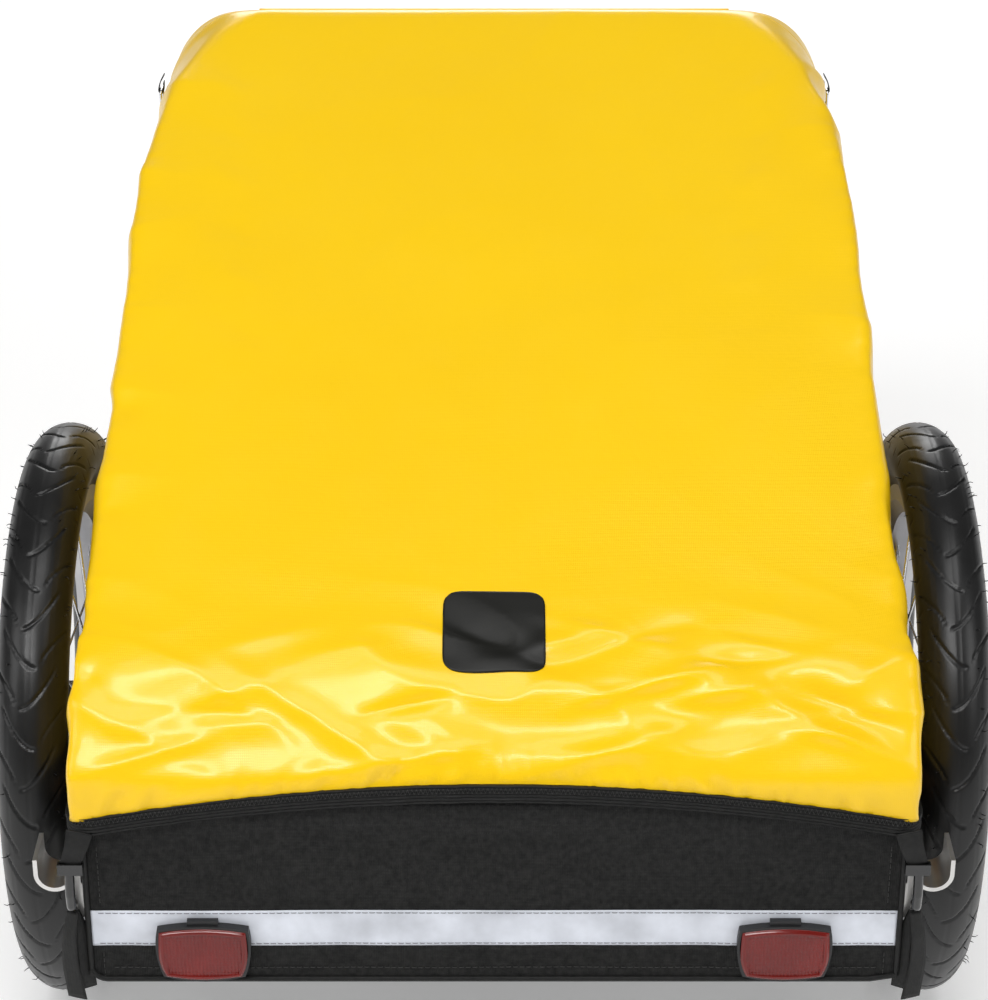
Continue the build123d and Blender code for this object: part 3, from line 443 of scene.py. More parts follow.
def crease_lines():
    """Short fold ridges on the cover as (start, end, width, height), y from the axle."""
    lines = []
    for _ in range(34):
        x, y = rng.uniform(-0.25, 0.25), rng.uniform(-0.248, -0.178)
        z = top_z(y) if y > FOLD[0] else 0.298 + (y + 0.254) * 1.08
        run, lean = rng.uniform(0.025, 0.07), rng.uniform(-0.6, 0.6)
        lines.append((
            (x - run, y - run * lean, z - run * lean * 0.8), (x + run, y + run * lean, z + run * lean * 0.8),
            rng.uniform(0.005, 0.011), rng.choice((-1, 1, 1)) * rng.uniform(0.0018, 0.0042),
        ))
    for side in (-1, 1):
        for _ in range(13):
            y = rng.uniform(-0.2, 0.39)
            x, z = side * half(y), top_z(y) - rng.uniform(0.0, 0.07)
            run, lean = rng.uniform(0.02, 0.05), rng.uniform(0.3, 1.5) * rng.choice((-1, 1))
            lines.append((
                (x - side * 0.02, y - run, z - run * lean), (x, y + run, z + run * lean),
                rng.uniform(0.009, 0.018), rng.choice((-1, 1)) * rng.uniform(0.002, 0.0045),
            ))
        for k in range(6):
            y = 0.395 - 0.05 * k
            lines.append((
                (side * (0.262 - 0.004 * k), y, top_z(y) - 0.05),
                (side * (0.20 - 0.006 * k), y - 0.07, top_z(y - 0.07) - 0.002),
                0.011, (0.0035, -0.003)[k % 2],
            ))
    return lines


def add_creases(co, lines):
    """Height of all the creases at each point of co, by distance to each line."""
    total = np.zeros(len(co))
    for start, end, width, height in lines:
        p, q = np.array(start), np.array(end)
        d = q - p
        t = np.clip(((co - p) @ d) / (d @ d), 0, 1)
        gap = np.linalg.norm(co - (p + t[:, None] * d), axis=1)
        near = gap < width * 3
        swell = np.sin(math.pi * (0.08 + 0.84 * t[near]))
        total[near] += height * swell * np.exp(-((gap[near] / width) ** 1.6))
    return total


def read_points(mesh):
    co = np.empty(len(mesh.vertices) * 3)
    mesh.vertices.foreach_get("co", co)
    return co.reshape(-1, 3)


def write_points(mesh, co):
    mesh.vertices.foreach_set("co", co.reshape(-1))
    mesh.update()


def hood_surface():
    """The whole cover as one closed rounded skin, before it is cut at the hem and the seam."""
    inset = 0.0008
    verts = []
    for y, z in PROFILE:
        for side in (-1, 1):
            verts.append((side * (half(y) - inset), at(y), z))
    n = len(PROFILE)
    faces = [tuple(2 * i for i in range(n)), tuple(2 * i + 1 for i in reversed(range(n)))]
    for i in range(n):
        j = (i + 1) % n
        faces.append((2 * i, 2 * i + 1, 2 * j + 1, 2 * j))
    obj = new_mesh("hood", verts, faces, None)
    fix_normals(obj)
    modifier(obj, "REMESH", mode="VOXEL", voxel_size=0.006)
    baked(obj)
    co = read_points(obj.data)
    centre_x = half(0.229) - CORNER_R
    out_x, out_z = np.abs(co[:, 0]) - centre_x, co[:, 2] - CORNER_Z
    reach = np.hypot(out_x, out_z)
    round_off = (out_x > 0) & (out_z > 0) & (reach > CORNER_R)
    pull = np.where(round_off, CORNER_R / np.maximum(reach, 1e-6), 1.0)
    co[:, 0] = np.where(round_off, np.sign(co[:, 0]) * (centre_x + out_x * pull), co[:, 0])
    co[:, 2] = np.where(round_off, CORNER_Z + out_z * pull, co[:, 2])
    write_points(obj.data, co)
    modifier(obj, "SMOOTH", factor=0.5, iterations=12)
    modifier(obj, "SUBSURF", levels=1)
    baked(obj)
    mesh = obj.data
    normals = np.empty(len(mesh.vertices) * 3)
    mesh.vertex_normals.foreach_get("vector", normals)
    normals = normals.reshape(-1, 3)
    co = read_points(mesh)
    local = co - np.array((0, AXLE.y, 0))
    x, y, z = local.T
    above = z - hem_z(x) - HEM_H
    calm = ramp(0.0, 0.035, above)
    side = ramp(0.2, 0.262, np.abs(x))
    near_top = ramp(0.13, 0.0, top_z(y) - z)
    fold_band = np.exp(-(((y + 0.205) / 0.05) ** 2))
    rough = np.array([
        (
            noise.noise((px * 5.0, py * 4.0, pz * 5.0)),
            noise.noise((px * 9 + noise.noise((py * 6, px * 6, pz * 6)) * 1.3, py * 7, pz * 9)),
            noise.noise((py * 7 + pz * 6, pz * 5 - py * 3, px * 3)),
            noise.noise((px * 11 + py * 9, py * 24 + px * 7, pz * 18)),
            noise.noise((px * 30, py * 30, pz * 30)),
        )
        for px, py, pz in local
    ])
    # Broad swell and ripples on top, deeper ones on the sides and sharp ones along the rear fold
    lift = rough[:, 0] * 0.0028 + (0.5 - np.abs(rough[:, 1])) * 0.0016 * (1 - side)
    lift += (0.25 - np.abs(rough[:, 2])) * 0.0075 * side * (0.35 + 0.65 * near_top)
    lift += (0.3 - np.abs(rough[:, 3])) * 0.0075 * fold_band
    lift = lift * calm
    lift += add_creases(local, crease_lines()) * ramp(0.0, 0.02, above)
    # Small gathers that the elastic pulls into the hem
    along = np.where(np.abs(x) < 0.252, x, y) + above * 0.35 * np.sign(x)
    for _ in range(90):
        middle, reach = rng.uniform(-0.27, 0.42), rng.uniform(0.008, 0.026)
        tuck = np.exp(-(((along - middle) / rng.uniform(0.0018, 0.0035)) ** 2))
        lift -= rng.uniform(0.0006, 0.002) * tuck * ramp(reach, 0.0, above) * ramp(-0.002, 0.002, above)
    swell = np.sin(along * 230 + 5 * rough[:, 4] + 4 * rough[:, 1])
    lift += swell * 0.0005 * ramp(0.03, 0.0, above) * ramp(-0.002, 0.004, above)
    lift *= 1 - 0.85 * np.exp(-(((y - SEAM_Y) / 0.01) ** 2))
    # The cloth can't sink into the side frame's tube or through the hem binding
    held = np.maximum(side * near_top * ramp(0.22, 0.28, y), 0.85 * ramp(0.02, 0.008, above))
    lift = np.maximum(lift, -0.0005 - 0.006 * (1 - held))
    write_points(mesh, co + normals * (lift - 0.0004)[:, None])
    return obj


FRONT_START = SEAM_Y + 0.001


def cut_skin(obj, rear):
    """Keeps the skin above the hem and on one side of the seam."""
    bm = bmesh.new()
    bm.from_mesh(obj.data)
    seam = Vector((0, at(SEAM_Y - 0.0004 if rear else FRONT_START), 0))
    bmesh.ops.bisect_plane(
        bm, geom=bm.verts[:] + bm.edges[:] + bm.faces[:], plane_co=seam, plane_no=(0, 1, 0),
        clear_outer=rear, clear_inner=not rear,
    )
    for v in bm.verts:
        v.co.z -= hem_z(v.co.x)
    bmesh.ops.bisect_plane(
        bm, geom=bm.verts[:] + bm.edges[:] + bm.faces[:], plane_co=(0, 0, HEM_H - 0.0015),
        plane_no=(0, 0, 1), clear_inner=True,
    )
    for v in bm.verts:
        v.co.z += hem_z(v.co.x)
    bmesh.ops.remove_doubles(bm, verts=bm.verts, dist=0.0002)
    bm.to_mesh(obj.data)
    bm.free()


hood = hood_surface()
cover = hood.copy()
cover.data = hood.data.copy()
cover.name = "cover_cloth"
bpy.context.collection.objects.link(cover)
hood.name = "front_cloth"
cut_skin(cover, True)
cut_skin(hood, False)
for piece in (cover, hood):
    piece.data.materials.clear()
    piece.data.materials.append(YELLOW)
    modifier(piece, "SOLIDIFY", thickness=CLOTH, offset=-1)
    baked(piece)
    piece.data.polygons.foreach_set("use_smooth", [True] * len(piece.data.polygons))
skin = BVHTree.FromObject(cover, bpy.context.evaluated_depsgraph_get())


# ------------------------------------------------------------------ hem binding and its stitches


def rounded_path(corners, radius, step):
    """An open polyline with rounded corners, as evenly spaced points with outward normals."""
    pts = [Vector((*corners[0], 0))]
    for i in range(1, len(corners) - 1):
        p, a, b = (Vector((*corners[k], 0)) for k in (i, i - 1, i + 1))
        u, w = (a - p).normalized(), (b - p).normalized()
        angle = u.angle(w)
        cut = radius / math.tan(angle / 2)
        centre = p + (u + w).normalized() * (radius / math.sin(angle / 2))
        first, last = p + u * cut - centre, p + w * cut - centre
        for k in range(13):
            pts.append(centre + first.normalized().slerp(last.normalized(), k / 12) * radius)
    pts.append(Vector((*corners[-1], 0)))
    spaced, left = [pts[0]], step
    for a, b in zip(pts, pts[1:]):
        gap = (b - a).length
        while gap >= left:
            a = a + (b - a).normalized() * left
            spaced.append(a)
            gap -= left
            left = step
        left -= gap
    normals = []
    for i in range(len(spaced)):
        way = spaced[min(i + 1, len(spaced) - 1)] - spaced[max(i - 1, 0)]
        n = Vector((way.y, -way.x, 0)).normalized()
        middle = Vector((0, at(0.17), 0))
        normals.append(n if n.dot(spaced[i] - middle) > 0 else -n)
    return spaced, normals


def corner_points(start, end, end_half):
    """The hem's outline from the seam round one end of the body and back to the seam."""
    right = [(half(SEAM_Y), at(start)), (end_half, at(end))]
    return right + [(-x, y) for x, y in reversed(right)]


REAR_CORNERS = corner_points(SEAM_Y - 0.0005, REAR_Y, HALF_REAR)
FRONT_CORNERS = corner_points(FRONT_START, NOSE_Y - 0.003, HALF_FRONT)
HEM_CORNER_R = 0.02
BINDING_SECTION = [
    (0.0010 + 0.0006 * math.cos(k * math.pi / 3), HEM_H * k / 30) for k in range(31)
] + [(-0.0021, HEM_H), (-0.0021, 0)]


def binding(name, corners):
    """Ribbed elastic binding round a hem, and the zig-zag thread that holds it."""
    path, normals = rounded_path(corners, HEM_CORNER_R, 0.003)
    path = [
        Vector((p.x, p.y, hem_z(p.x))) + n * 0.0004 * noise.noise((p.x * 90, p.y * 90, 0))
        for p, n in zip(path, normals)
    ]
    band = sweep(name, path, BINDING_SECTION, normals, BINDING)
    path, normals = rounded_path(corners, HEM_CORNER_R, 0.0014)
    pile = Pile()
    zigzag = [
        Vector((p.x, p.y, hem_z(p.x) + 0.0092 + (0.0019 if i % 2 else -0.0019))) + n * 0.0017
        for i, (p, n) in enumerate(zip(path, normals))
    ]
    pile.tube(zigzag, 0.00032, 5)
    return band, pile.make(name + "_zigzag", THREAD)


hem_band, hem_zigzag = binding("cover_binding", REAR_CORNERS)
front_band, front_zigzag = binding("front_binding", FRONT_CORNERS)

# ------------------------------------------------------------------ sheets built as closed slabs


def slab(name, nu, nv, surface, material):
    """A closed thin solid. surface(u, v) gives its outer and inner points for u and v from 0 to 1."""
    outer, inner = [], []
    for j in range(nv + 1):
        for i in range(nu + 1):
            a, b = surface(i / nu, j / nv)
            outer.append(Vector(a))
            inner.append(Vector(b))
    w, n = nu + 1, (nu + 1) * (nv + 1)
    faces = []
    for j in range(nv):
        for i in range(nu):
            a = j * w + i
            faces.append((a, a + 1, a + w + 1, a + w))
            faces.append((n + a + w, n + a + w + 1, n + a + 1, n + a))
    ring = list(range(w)) + [j * w + nu for j in range(1, nv + 1)]
    ring += [nv * w + i for i in reversed(range(nu))] + [j * w for j in reversed(range(1, nv))]
    for a, b in zip(ring, ring[1:] + ring[:1]):
        faces.append((b, a, n + a, n + b))
    obj = new_mesh(name, outer + inner, faces, material)
    fix_normals(obj)
    return obj


def ribbon(name, path, wide, width, thick, material):
    """A flat strap along a path of points, lying across the direction wide."""
    path, wide = [Vector(p) for p in path], Vector(wide).normalized()
    last = len(path) - 1

    def surface(u, v):
        i = round(v * last)
        way = (path[min(i + 1, last)] - path[max(i - 1, 0)]).normalized()
        out = wide.cross(way).normalized()
        p = path[i] + wide * (u - 0.5) * (width[0] + (width[1] - width[0]) * v)
        puff = thick / 2 * (1 - 0.35 * abs(2 * u - 1) ** 3)
        return p + out * puff, p - out * puff

    return slab(name, 6, last, surface, material)


def curve_points(points, count):
    """Smooth points through a few given ones."""
    pts = [Vector(p) for p in points]
    pts = [pts[0] * 2 - pts[1]] + pts + [pts[-1] * 2 - pts[-2]]
    result = []
    for k in range(count + 1):
        t = k / count * (len(pts) - 3)
        i = min(int(t), len(pts) - 4)
        f = t - i
        a, b, c, d = pts[i:i + 4]
        bend, twist = 2 * a - 5 * b + 4 * c - d, 3 * b - a - 3 * c + d
        result.append(0.5 * (2 * b + (c - a) * f + bend * f ** 2 + twist * f ** 3))
    return result


def dashes(pile, points, normal, length=0.003, gap=0.0014, radius=0.00028):
    """Thread dashes along evenly read points, lying on a surface with the given normal."""
    normal = Vector(normal)
    total = 0.0
    for a, b in zip(points, points[1:]):
        way = (b - a).normalized()
        run = (b - a).length
        here = (length + gap) - total % (length + gap)
        while here < run:
            p = a + way * here
            ends = [p - way * length / 2 - normal * 0.0002, p - way * length * 0.3 + normal * 0.0002]
            ends += [p + way * length * 0.3 + normal * 0.0002, p + way * length / 2 - normal * 0.0002]
            pile.tube(ends, radius, 5, up=normal)
            here += length + gap
        total += run


# ------------------------------------------------------------------ rear panel and strip

low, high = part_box("rear_panel")
PANEL_HALF, PANEL_Y, PANEL_LOW, PANEL_HIGH = high[0], -0.250, low[2], high[2]
PANEL_SHEET, PANEL_CORNER = 0.0018, 0.01
PIPING_TOP = 0.256
STRIP_Z, STRIP_H, STRIP_HALF = 0.185, 0.027, 0.2605
low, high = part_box("reflector_housings")
LAMP_X, LAMP_Z, LAMP_W, LAMP_H = high[0] - 0.0305, 0.1685, 0.061, 0.043


def panel_wave(x, z):
    """How far the rear panel stands forward of its flat plane, never behind it."""
    edge = ramp(0, 0.03, PANEL_HALF - abs(x))
    edge = edge * ramp(0, 0.02, z - PANEL_LOW) * ramp(0, 0.02, 0.272 - z)
    lamp = 1 - ramp(0.05, 0.034, abs(abs(x) - LAMP_X)) * ramp(0.035, 0.024, abs(z - LAMP_Z))
    strip = 1 - 0.75 * ramp(0.020, 0.013, abs(z - STRIP_Z))
    broad = noise.noise((x * 7, z * 11, 3)) * 0.5
    fold = 0.5 - abs(noise.noise((x * 9 + z * 16, z * 8 - x * 5, 7)))
    return edge * lamp * strip * (0.0016 + 0.0026 * broad + 0.0045 * (fold - 0.3))


def panel_skin(x, z):
    """The rear panel's y at x and z."""
    return at(PANEL_Y) + max(-0.0006, panel_wave(x, z))


def panel_half(z):
    """Half the panel's width at z: lower corners rounded, top tapered."""
    above_edge = z - PANEL_LOW
    if above_edge < PANEL_CORNER:
        drop = PANEL_CORNER - above_edge
        return PANEL_HALF - PANEL_CORNER + math.sqrt(max(0, PANEL_CORNER ** 2 - drop ** 2))
    return PANEL_HALF - max(0, z - PIPING_TOP)


def panel_surface(u, v):
    z = PANEL_LOW + (PANEL_HIGH - PANEL_LOW) * v
    x = (2 * u - 1) * panel_half(z)
    y = panel_skin(x, z)
    return (x, y, z), (x, y + PANEL_SHEET, z)


def strip_surface(u, v):
    z = STRIP_Z + STRIP_H * (v - 0.5)
    x = (2 * u - 1) * STRIP_HALF
    y = panel_skin(x, z)
    return (x, y - 0.0007, z), (x, y - 0.0001, z)


rear_panel = slab("rear_cloth", 200, 64, panel_surface, BLACK_CLOTH)
strip = slab("rear_strip", 240, 12, strip_surface, TAPE)


def on_panel(x, z, out=0.0002):
    return Vector((x, panel_skin(x, z) - out, z))


trim, thread, thread_grey = Pile(), Pile(), Pile()
edge_path = [on_panel(-PANEL_HALF, PIPING_TOP - 0.004 * k) for k in range(28)]
edge_path += [
    on_panel(
        -PANEL_HALF + PANEL_CORNER - PANEL_CORNER * math.cos(t),
        PANEL_LOW + PANEL_CORNER - PANEL_CORNER * math.sin(t),
    )
    for t in (0.1, 0.4, 0.7, 1.0, 1.3, 1.57)
]
edge_path += [on_panel(-0.25 + 0.005 * k, PANEL_LOW) for k in range(1, 100)]
edge_path += [Vector((-p.x, p.y, p.z)) for p in edge_path[27::-1]]
trim.tube(edge_path, 0.0021, 8, up=Vector((0, 1, 0)))
piping = trim.make("rear_piping", BINDING)
BACKWARD = (0, -1, 0)
for side in (-1, 1):
    for top, count in ((0.25, 12), (0.168, 7)):
        dashes(thread, [on_panel(side * 0.2535, top - 0.004 * k) for k in range(count)], BACKWARD)
dashes(thread, [on_panel(-0.25 + 0.01 * k, PANEL_LOW + 0.0085) for k in range(51)], BACKWARD)
for edge in (-1, 1):
    row = [on_panel(-0.258 + 0.006 * k, STRIP_Z + edge * 0.0118, 0.0009) for k in range(87)]
    dashes(thread_grey, row, BACKWARD, 0.0034, 0.0012, 0.00025)
panel_thread = thread.make("rear_stitches", THREAD)
strip_thread = thread_grey.make("strip_stitches", THREAD_GREY)

# ------------------------------------------------------------------ reflector lenses


def lens(name, centre_x):
    """A barrel-shaped prismatic lens: bevelled edge and columns of small prisms."""
    border, prism = 0.0018, 0.0023
    wide, high = LAMP_W / 2 - border, LAMP_H / 2 - border

    def surface(u, v):
        a, b = 2 * u - 1, 2 * v - 1
        x = a * (wide - 0.0035 * max(0, -b) ** 2 - 0.0008 * b * b)
        z = b * (high - 0.0028 * a * a)
        rim = ramp(1.0, 0.93, abs(a)) * ramp(1.0, 0.9, abs(b))
        inside = 1 if abs(a) < 0.88 and abs(b) < 0.82 else 0
        column, row = (abs(c / prism % 1 - 0.5) * 2 for c in (x, z))
        out = 0.0035 + 0.0014 * rim - inside * (0.0003 + 0.0007 * column + 0.0003 * row)
        y = at(PANEL_Y) - 0.0036
        return (centre_x + x, y - out, LAMP_Z + z), (centre_x + x, y, LAMP_Z + z)

    return slab(name, 150, 104, surface, LENS)


lenses = [lens("reflector_left", -LAMP_X), lens("reflector_right", LAMP_X)]

# ------------------------------------------------------------------ side cloths, tub and front panel

# The side frame's tube loop, as (y, z) corners
LOOP = ((-0.200, 0.246), (-0.185, 0.335), (0.318, 0.526), (0.495, 0.246))


def loop_top(y):
    """Upper edge of the side cloth at y, with its corners eased."""
    lines = []
    for (y1, z1), (y2, z2) in zip(LOOP, LOOP[1:]):
        lines.append(z1 + (y - y1) * (z2 - z1) / (y2 - y1))
    lines = [lines[0] + 0.045, lines[1] + 0.0075, lines[2] + 0.013]
    k = 90.0
    return -math.log(sum(math.exp(-k * (z - 0.4)) for z in lines)) / k + 0.4


WALL_X, WALL_LOW, WALL_START, WALL_RUN = 0.2576, 0.2395, -0.2055, 0.7055


def side_surface(side):
    def surface(u, v):
        y = WALL_START + WALL_RUN * u
        high = max(WALL_LOW + 0.004, loop_top(y))
        z = WALL_LOW + (high - WALL_LOW) * v
        inside = ramp(0, 0.05, z - WALL_LOW) * ramp(0, 0.05, high - z)
        inside = inside * ramp(0, 0.08, u) * ramp(0, 0.08, 1 - u)
        pucker = noise.noise((y * 14, z * 20, side)) * 0.0015 * inside + 0.0006 * inside
        x = side * (WALL_X + max(-0.0006, pucker))
        return (x, at(y), z), (x - side * 0.0012, at(y), z)

    return surface


side_cloths = {}
for side, label in ((-1, "left"), (1, "right")):
    cloth = slab(label + "_wall", 120, 44, side_surface(side), SIDE_YELLOW)
    pile = Pile()
    edge_x = side * (WALL_X + 0.0002)
    rim_y = [-0.19 + 0.672 * k / 90 for k in range(91)]
    rim = [(edge_x, at(y), loop_top(y) - 0.004) for y in rim_y]
    bottom = [(edge_x, at(-0.2 + 0.0077 * k), 0.243) for k in range(91)]
    for line in (rim, bottom):
        pile.tube(line, 0.0012, 6, up=Vector((1, 0, 0)))
    edge = pile.make(label + "_wall_edge", BINDING)
    side_cloths[label] = (cloth, edge)

TUB_HALF, TUB_TOP = 0.252, 0.172
low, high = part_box("floor_tub")
TUB_Y = (low[1], high[1])


def tub_surface(u, v):
    """A shallow tray section: up one side, flat across the floor, up the other side."""
    r = 0.006
    wall, floor = TUB_TOP - PANEL_LOW - r, 2 * (TUB_HALF - r)
    arc = r * math.pi / 2
    s = u * (2 * wall + floor + 2 * arc)
    y = TUB_Y[0] + (TUB_Y[1] - TUB_Y[0]) * v
    pucker = 0.0008 * (0.5 - abs(noise.noise((y * 25, s * 30, 2)))) - 0.0004
    mirror, t = 1, s
    if s > wall + arc + floor / 2:
        mirror, t = -1, 2 * wall + floor + 2 * arc - s
    if t < wall:
        n, p = Vector((-1, 0, 0)), Vector((-TUB_HALF, y, TUB_TOP - t))
        p += n * pucker
    elif t < wall + arc:
        a = (t - wall) / r
        n = Vector((-math.cos(a), 0, -math.sin(a)))
        p = Vector((-TUB_HALF + r, y, PANEL_LOW + r)) + n * r
    else:
        n, p = Vector((0, 0, -1)), Vector((-TUB_HALF + r + t - wall - arc, y, PANEL_LOW))
    q = p - n * PANEL_SHEET
    if mirror < 0:
        p, q = Vector((-p.x, p.y, p.z)), Vector((-q.x, q.y, q.z))
    return p, q


tub = slab("floor_cloth", 132, 90, tub_surface, BLACK_CLOTH)
low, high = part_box("front_panel")
FRONT_Y, FRONT_HALF, FRONT_HIGH = (low[1], high[1]), high[0], high[2]


def front_surface(u, v):
    z = PANEL_LOW + (FRONT_HIGH - PANEL_LOW) * v
    cut = max(0, PANEL_CORNER - (z - PANEL_LOW))
    x = (2 * u - 1) * (FRONT_HALF - PANEL_CORNER + math.sqrt(PANEL_CORNER ** 2 - cut ** 2))
    edge = ramp(0, 0.03, FRONT_HALF - abs(x))
    edge = edge * ramp(0, 0.02, z - PANEL_LOW) * ramp(0, 0.03, FRONT_HIGH - z)
    wave = edge * (noise.noise((x * 8, z * 12, 9)) * 0.0022 + 0.0006)
    return (x, FRONT_Y[1] + max(-0.0004, wave), z), (x, FRONT_Y[0] + max(-0.0004, wave), z)


front_panel = slab("front_cloth_panel", 120, 50, front_surface, BLACK_CLOTH)
front_rim = Pile()
upright = [(-FRONT_HALF + 0.002, FRONT_Y[1], FRONT_HIGH - 0.003 * k) for k in range(48)]
lower = [(-FRONT_HALF + 0.01 + 0.0112 * k, FRONT_Y[1], PANEL_LOW + 0.0005) for k in range(41)]
far_upright = [(-x, y, z) for x, y, z in reversed(upright)]
front_rim.tube(upright + lower + far_upright, 0.0018, 8, up=Vector((0, 1, 0)))
front_piping = front_rim.make("front_piping", BINDING)

# ------------------------------------------------------------------ hook straps, tails and ring tabs

# Each hook has a strap down from the hem and two loose ends below it: the tail and the fold.
HOOK_X, HOOK_Y = 0.271, -0.256
straps = []
for side in (-1, 1):
    x, y = side * (HOOK_X - 0.001), at(HOOK_Y)
    path = curve_points(
        [(side * 0.2625, y + 0.0002, 0.2625), (side * 0.2655, y - 0.0012, 0.251), (x, y - 0.0004, 0.2385)], 18
    )
    straps.append(ribbon("hook_strap", path, (1, 0, 0.25 * side), (0.017, 0.0125), 0.0014, BINDING))
    tail = curve_points(
        [(x + side * 0.001, y + 0.003, 0.1995), (x + side * 0.004, y + 0.0022, 0.181),
         (x + side * 0.005, y + 0.003, 0.16), (x + side * 0.002, y + 0.0022, 0.1325)], 26,
    )
    straps.append(ribbon("strap_tail", tail, (1, 0.35 * side, 0), (0.008, 0.0135), 0.0013, BINDING))
    fold = curve_points(
        [(x + side * 0.0005, y + 0.0056, 0.1985), (x - side * 0.0035, y + 0.0062, 0.178),
         (x - side * 0.0045, y + 0.0056, 0.138)], 20,
    )
    straps.append(ribbon("strap_fold", fold, (1, -0.5 * side, 0), (0.007, 0.0125), 0.0012, BINDING))
ring_tabs = []
for side, label in ((-1, "left"), (1, "right")):
    low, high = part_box(label + "_d_ring")
    cx, cy, top = (low[0] + high[0]) / 2, (low[1] + high[1]) / 2, high[2] - 0.0011
    loop = [(cx - side * 0.0026, cy, top + 0.012), (cx + side * 0.0006, cy, top + 0.006)]
    loop += [(cx + side * 0.002, cy, top + 0.0002), (cx + side * 0.0006, cy, top - 0.0021)]
    loop += [(cx - side * 0.0016, cy, top - 0.0012), (cx - side * 0.0022, cy, top + 0.006)]
    tab = ribbon(label + "_ring_tab", curve_points(loop, 40), (0, 1, 0), (0.009, 0.009), 0.0009, BINDING)
    ring_tabs.append(tab)

# ------------------------------------------------------------------ patch and seam welt


PATCH_Y, PATCH_HALF_W, PATCH_HALF_H = -0.176, 0.033, 0.0305
WELT_HALF, WELT_SPAN = 0.186, 62


def patch_surface(u, v):
    """A square with rounded corners, laid on the cover's skin."""
    a, b = 2 * u - 1, 2 * v - 1
    x = a * PATCH_HALF_W * (1 - 0.10 * abs(b) ** 10)
    along = b * PATCH_HALF_H * (1 - 0.10 * abs(a) ** 10)
    y = at(PATCH_Y + along * math.cos(math.atan(RISE)))
    hit, normal, _, _ = skin.ray_cast(Vector((x, y, 0.8)), Vector((0, 0, -1)))
    return hit + normal * 0.0009, hit + normal * 0.0001


patch = slab("patch_print", 44, 40, patch_surface, PATCH)
welt_pile = Pile()
front_fall = (PEAK[1] - PROFILE[4][1]) / (PROFILE[4][0] - PEAK[0])
welt_z = PEAK[1] - (SEAM_Y - PEAK[0]) * front_fall - 0.0008
welt_path = [
    (WELT_HALF * (2 * k / WELT_SPAN - 1), at(SEAM_Y), welt_z) for k in range(WELT_SPAN + 1)
]
welt_pile.tube(welt_path, 0.0013, 10)
welt = welt_pile.make("seam_welt", YELLOW)

# ------------------------------------------------------------------ tyres

SECTION_R, INNER_R = 0.0235, 0.0205
SECTION_Y = TYRE_R - SECTION_R
BEAD_R, BEAD_OUT, BEAD_IN = 0.1528, 0.0128, 0.0098
TREAD_PITCHES, TREAD_R_MM = 24, 203
HAIRS = 190


def tread(s, t):
    """Groove depth on the tread in mm, from the way round s and the way across t, both in mm."""
    depth = 0.35 * np.exp(-((t / 0.45) ** 2))
    pitch = 2 * math.pi * TREAD_R_MM / TREAD_PITCHES
    for line in (-15, 15):
        depth = np.maximum(depth, 0.22 * np.exp(-(((t - line) / 0.4) ** 2)))
    for side in (-1, 1):
        across = side * t
        phase = (s + (0 if side > 0 else pitch / 2)) / pitch
        reach = np.clip((across + 4) / 24, 0, 1)
        bend = phase - 0.55 * reach ** 1.6
        gap = (bend - np.round(bend)) * pitch
        taper = ramp(-5.5, -3.5, across) * ramp(20.5, 17.5, across)
        depth = np.maximum(depth, 1.5 * taper * np.exp(-((gap / (0.95 + 0.35 * reach)) ** 4)))
        hook = phase + 0.42 - 0.45 * np.clip((across - 9) / 19, 0, 1) ** 0.7
        gap = (hook - np.round(hook)) * pitch
        taper = ramp(8.0, 10.0, across) * ramp(28.5, 25.5, across)
        depth = np.maximum(depth, 1.2 * taper * np.exp(-((gap / 1.0) ** 4)))
        sipe = phase * 2 + 0.1 + 0.012 * across
        gap = (sipe - np.round(sipe)) * pitch / 2
        taper = ramp(26, 27, across) * ramp(32, 31, across)
        depth = np.maximum(depth, 0.5 * taper * np.exp(-((gap / 0.7) ** 4)))
    return depth


def tyre_mesh():
    """A tyre's section (across, out, way across in mm, tread or not) turned about the axle."""
    turns = 1064
    section = []
    arc = math.radians(136)
    for k in range(89):
        a = -arc + 2 * arc * k / 88
        section.append((math.sin(a) * SECTION_R, math.cos(a) * SECTION_R, a * SECTION_R * 1000, 1))
    section += [(x, BEAD_R - SECTION_Y, 0, 0) for x in (BEAD_OUT, BEAD_IN)]
    for k in range(17):
        a = arc - 2 * arc * k / 16
        section.append((math.sin(a) * INNER_R, math.cos(a) * INNER_R, 0, 0))
    section += [(x, BEAD_R - SECTION_Y, 0, 0) for x in (-BEAD_IN, -BEAD_OUT)]
    sec = np.array(section)
    m = len(sec)
    angle = np.arange(turns) * 2 * math.pi / turns
    s = angle[:, None] * TYRE_R * 1000 * np.ones((1, m))
    t = np.ones((turns, 1)) * sec[None, :, 2]
    cut = tread(s, t) * sec[None, :, 3] / 1000
    shrink = 1 - cut / SECTION_R
    x = sec[None, :, 0] * shrink
    radius = SECTION_Y + sec[None, :, 1] * shrink
    verts = np.stack([x, radius * np.sin(angle)[:, None], radius * np.cos(angle)[:, None]], axis=-1)
    index = np.arange(turns * m).reshape(turns, m)
    nxt = np.roll(index, -1, axis=0)
    right = np.roll(index, -1, axis=1)
    faces = np.stack([index, right, np.roll(nxt, -1, axis=1), nxt], axis=-1).reshape(-1, 4)
    return verts.reshape(-1, 3).tolist(), faces.tolist()


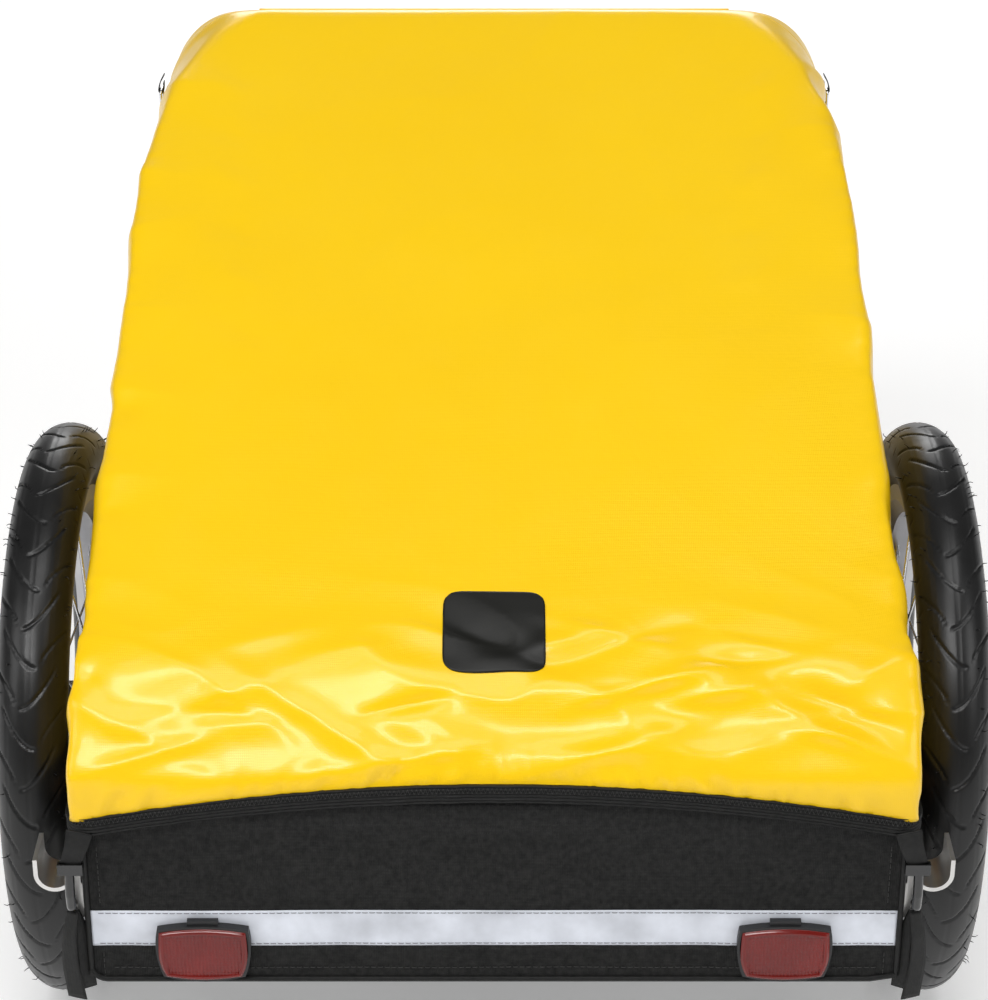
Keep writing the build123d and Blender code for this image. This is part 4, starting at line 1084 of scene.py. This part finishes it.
tyre_verts, tyre_faces = tyre_mesh()
tyres, hairs = {}, {}
for side, label in ((-1, "left"), (1, "right")):
    tyre = new_mesh(label + "_tread", tyre_verts, tyre_faces, RUBBER)
    fix_normals(tyre)
    centre = Vector((side * abs(TYRE_X), AXLE.y, AXLE.z))
    tyre.data.transform(Matrix.Translation(centre))
    pile = Pile()
    for _ in range(HAIRS):
        turn = rng.uniform(0, 2 * math.pi)
        lean = rng.choice((-1, 1)) * rng.uniform(0.55, 1.45)
        if math.cos(turn) < -0.93:
            continue
        out = Vector((math.sin(lean), math.cos(lean) * math.sin(turn), math.cos(lean) * math.cos(turn)))
        base = centre + Vector((0, math.sin(turn), math.cos(turn))) * SECTION_Y + out * (SECTION_R - 0.0003)
        bend = Vector([rng.uniform(-0.4, 0.4) for _ in range(3)])
        size = rng.uniform(0.0025, 0.005)
        path = [base, base + out * size * 0.5, base + (out + bend).normalized() * size]
        pile.tube(path, [0.0004, 0.0003, 0.0002], 5)
    hair = pile.make(label + "_tyre_hairs", RUBBER)
    tyres[label], hairs[label] = tyre, hair

# ------------------------------------------------------------------ what each piece rides on


def place(obj, body, nodes, finish_slot):
    """Rides obj on a body in place of some CAD nodes. finish_slot is not used."""
    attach(obj, body)
    if nodes:
        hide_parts(*nodes)


place(cover, "cover_lid", ["cover"], "cover_yellow")
place(hem_band, "cover_lid", ["cover_hem"], "trim_black")
place(hem_zigzag, "cover_lid", [], "trim_black")
place(patch, "cover_lid", ["cover_patch"], "patch")
for piece in straps:
    place(piece, "cover_lid", ["hem_straps"], "trim_black")
place(hood, "frame", ["front_cover"], "cover_yellow")
place(welt, "frame", [], "cover_yellow")
place(front_band, "frame", ["front_trim"], "trim_black")
place(front_zigzag, "frame", [], "trim_black")
for piece in ring_tabs:
    place(piece, "frame", [], "trim_black")
place(rear_panel, "frame", ["rear_panel"], "cloth_black")
place(strip, "frame", ["reflective_strip"], "reflective")
for piece in (piping, panel_thread, strip_thread, front_piping):
    place(piece, "frame", [], "trim_black")
for piece in lenses:
    place(piece, "frame", ["reflector_lenses"], "lens_red")
place(tub, "frame", ["floor_tub"], "cloth_black")
place(front_panel, "frame", ["front_panel"], "cloth_black")
for label, (cloth, edge) in side_cloths.items():
    place(cloth, label + "_side", [label + "_side_cloth"], "cloth_yellow")
    place(edge, label + "_side", [], "trim_black")
for label in tyres:
    place(tyres[label], label + "_wheel", [label + "_tyre"], "tyre")
    place(hairs[label], label + "_wheel", [], "tyre")
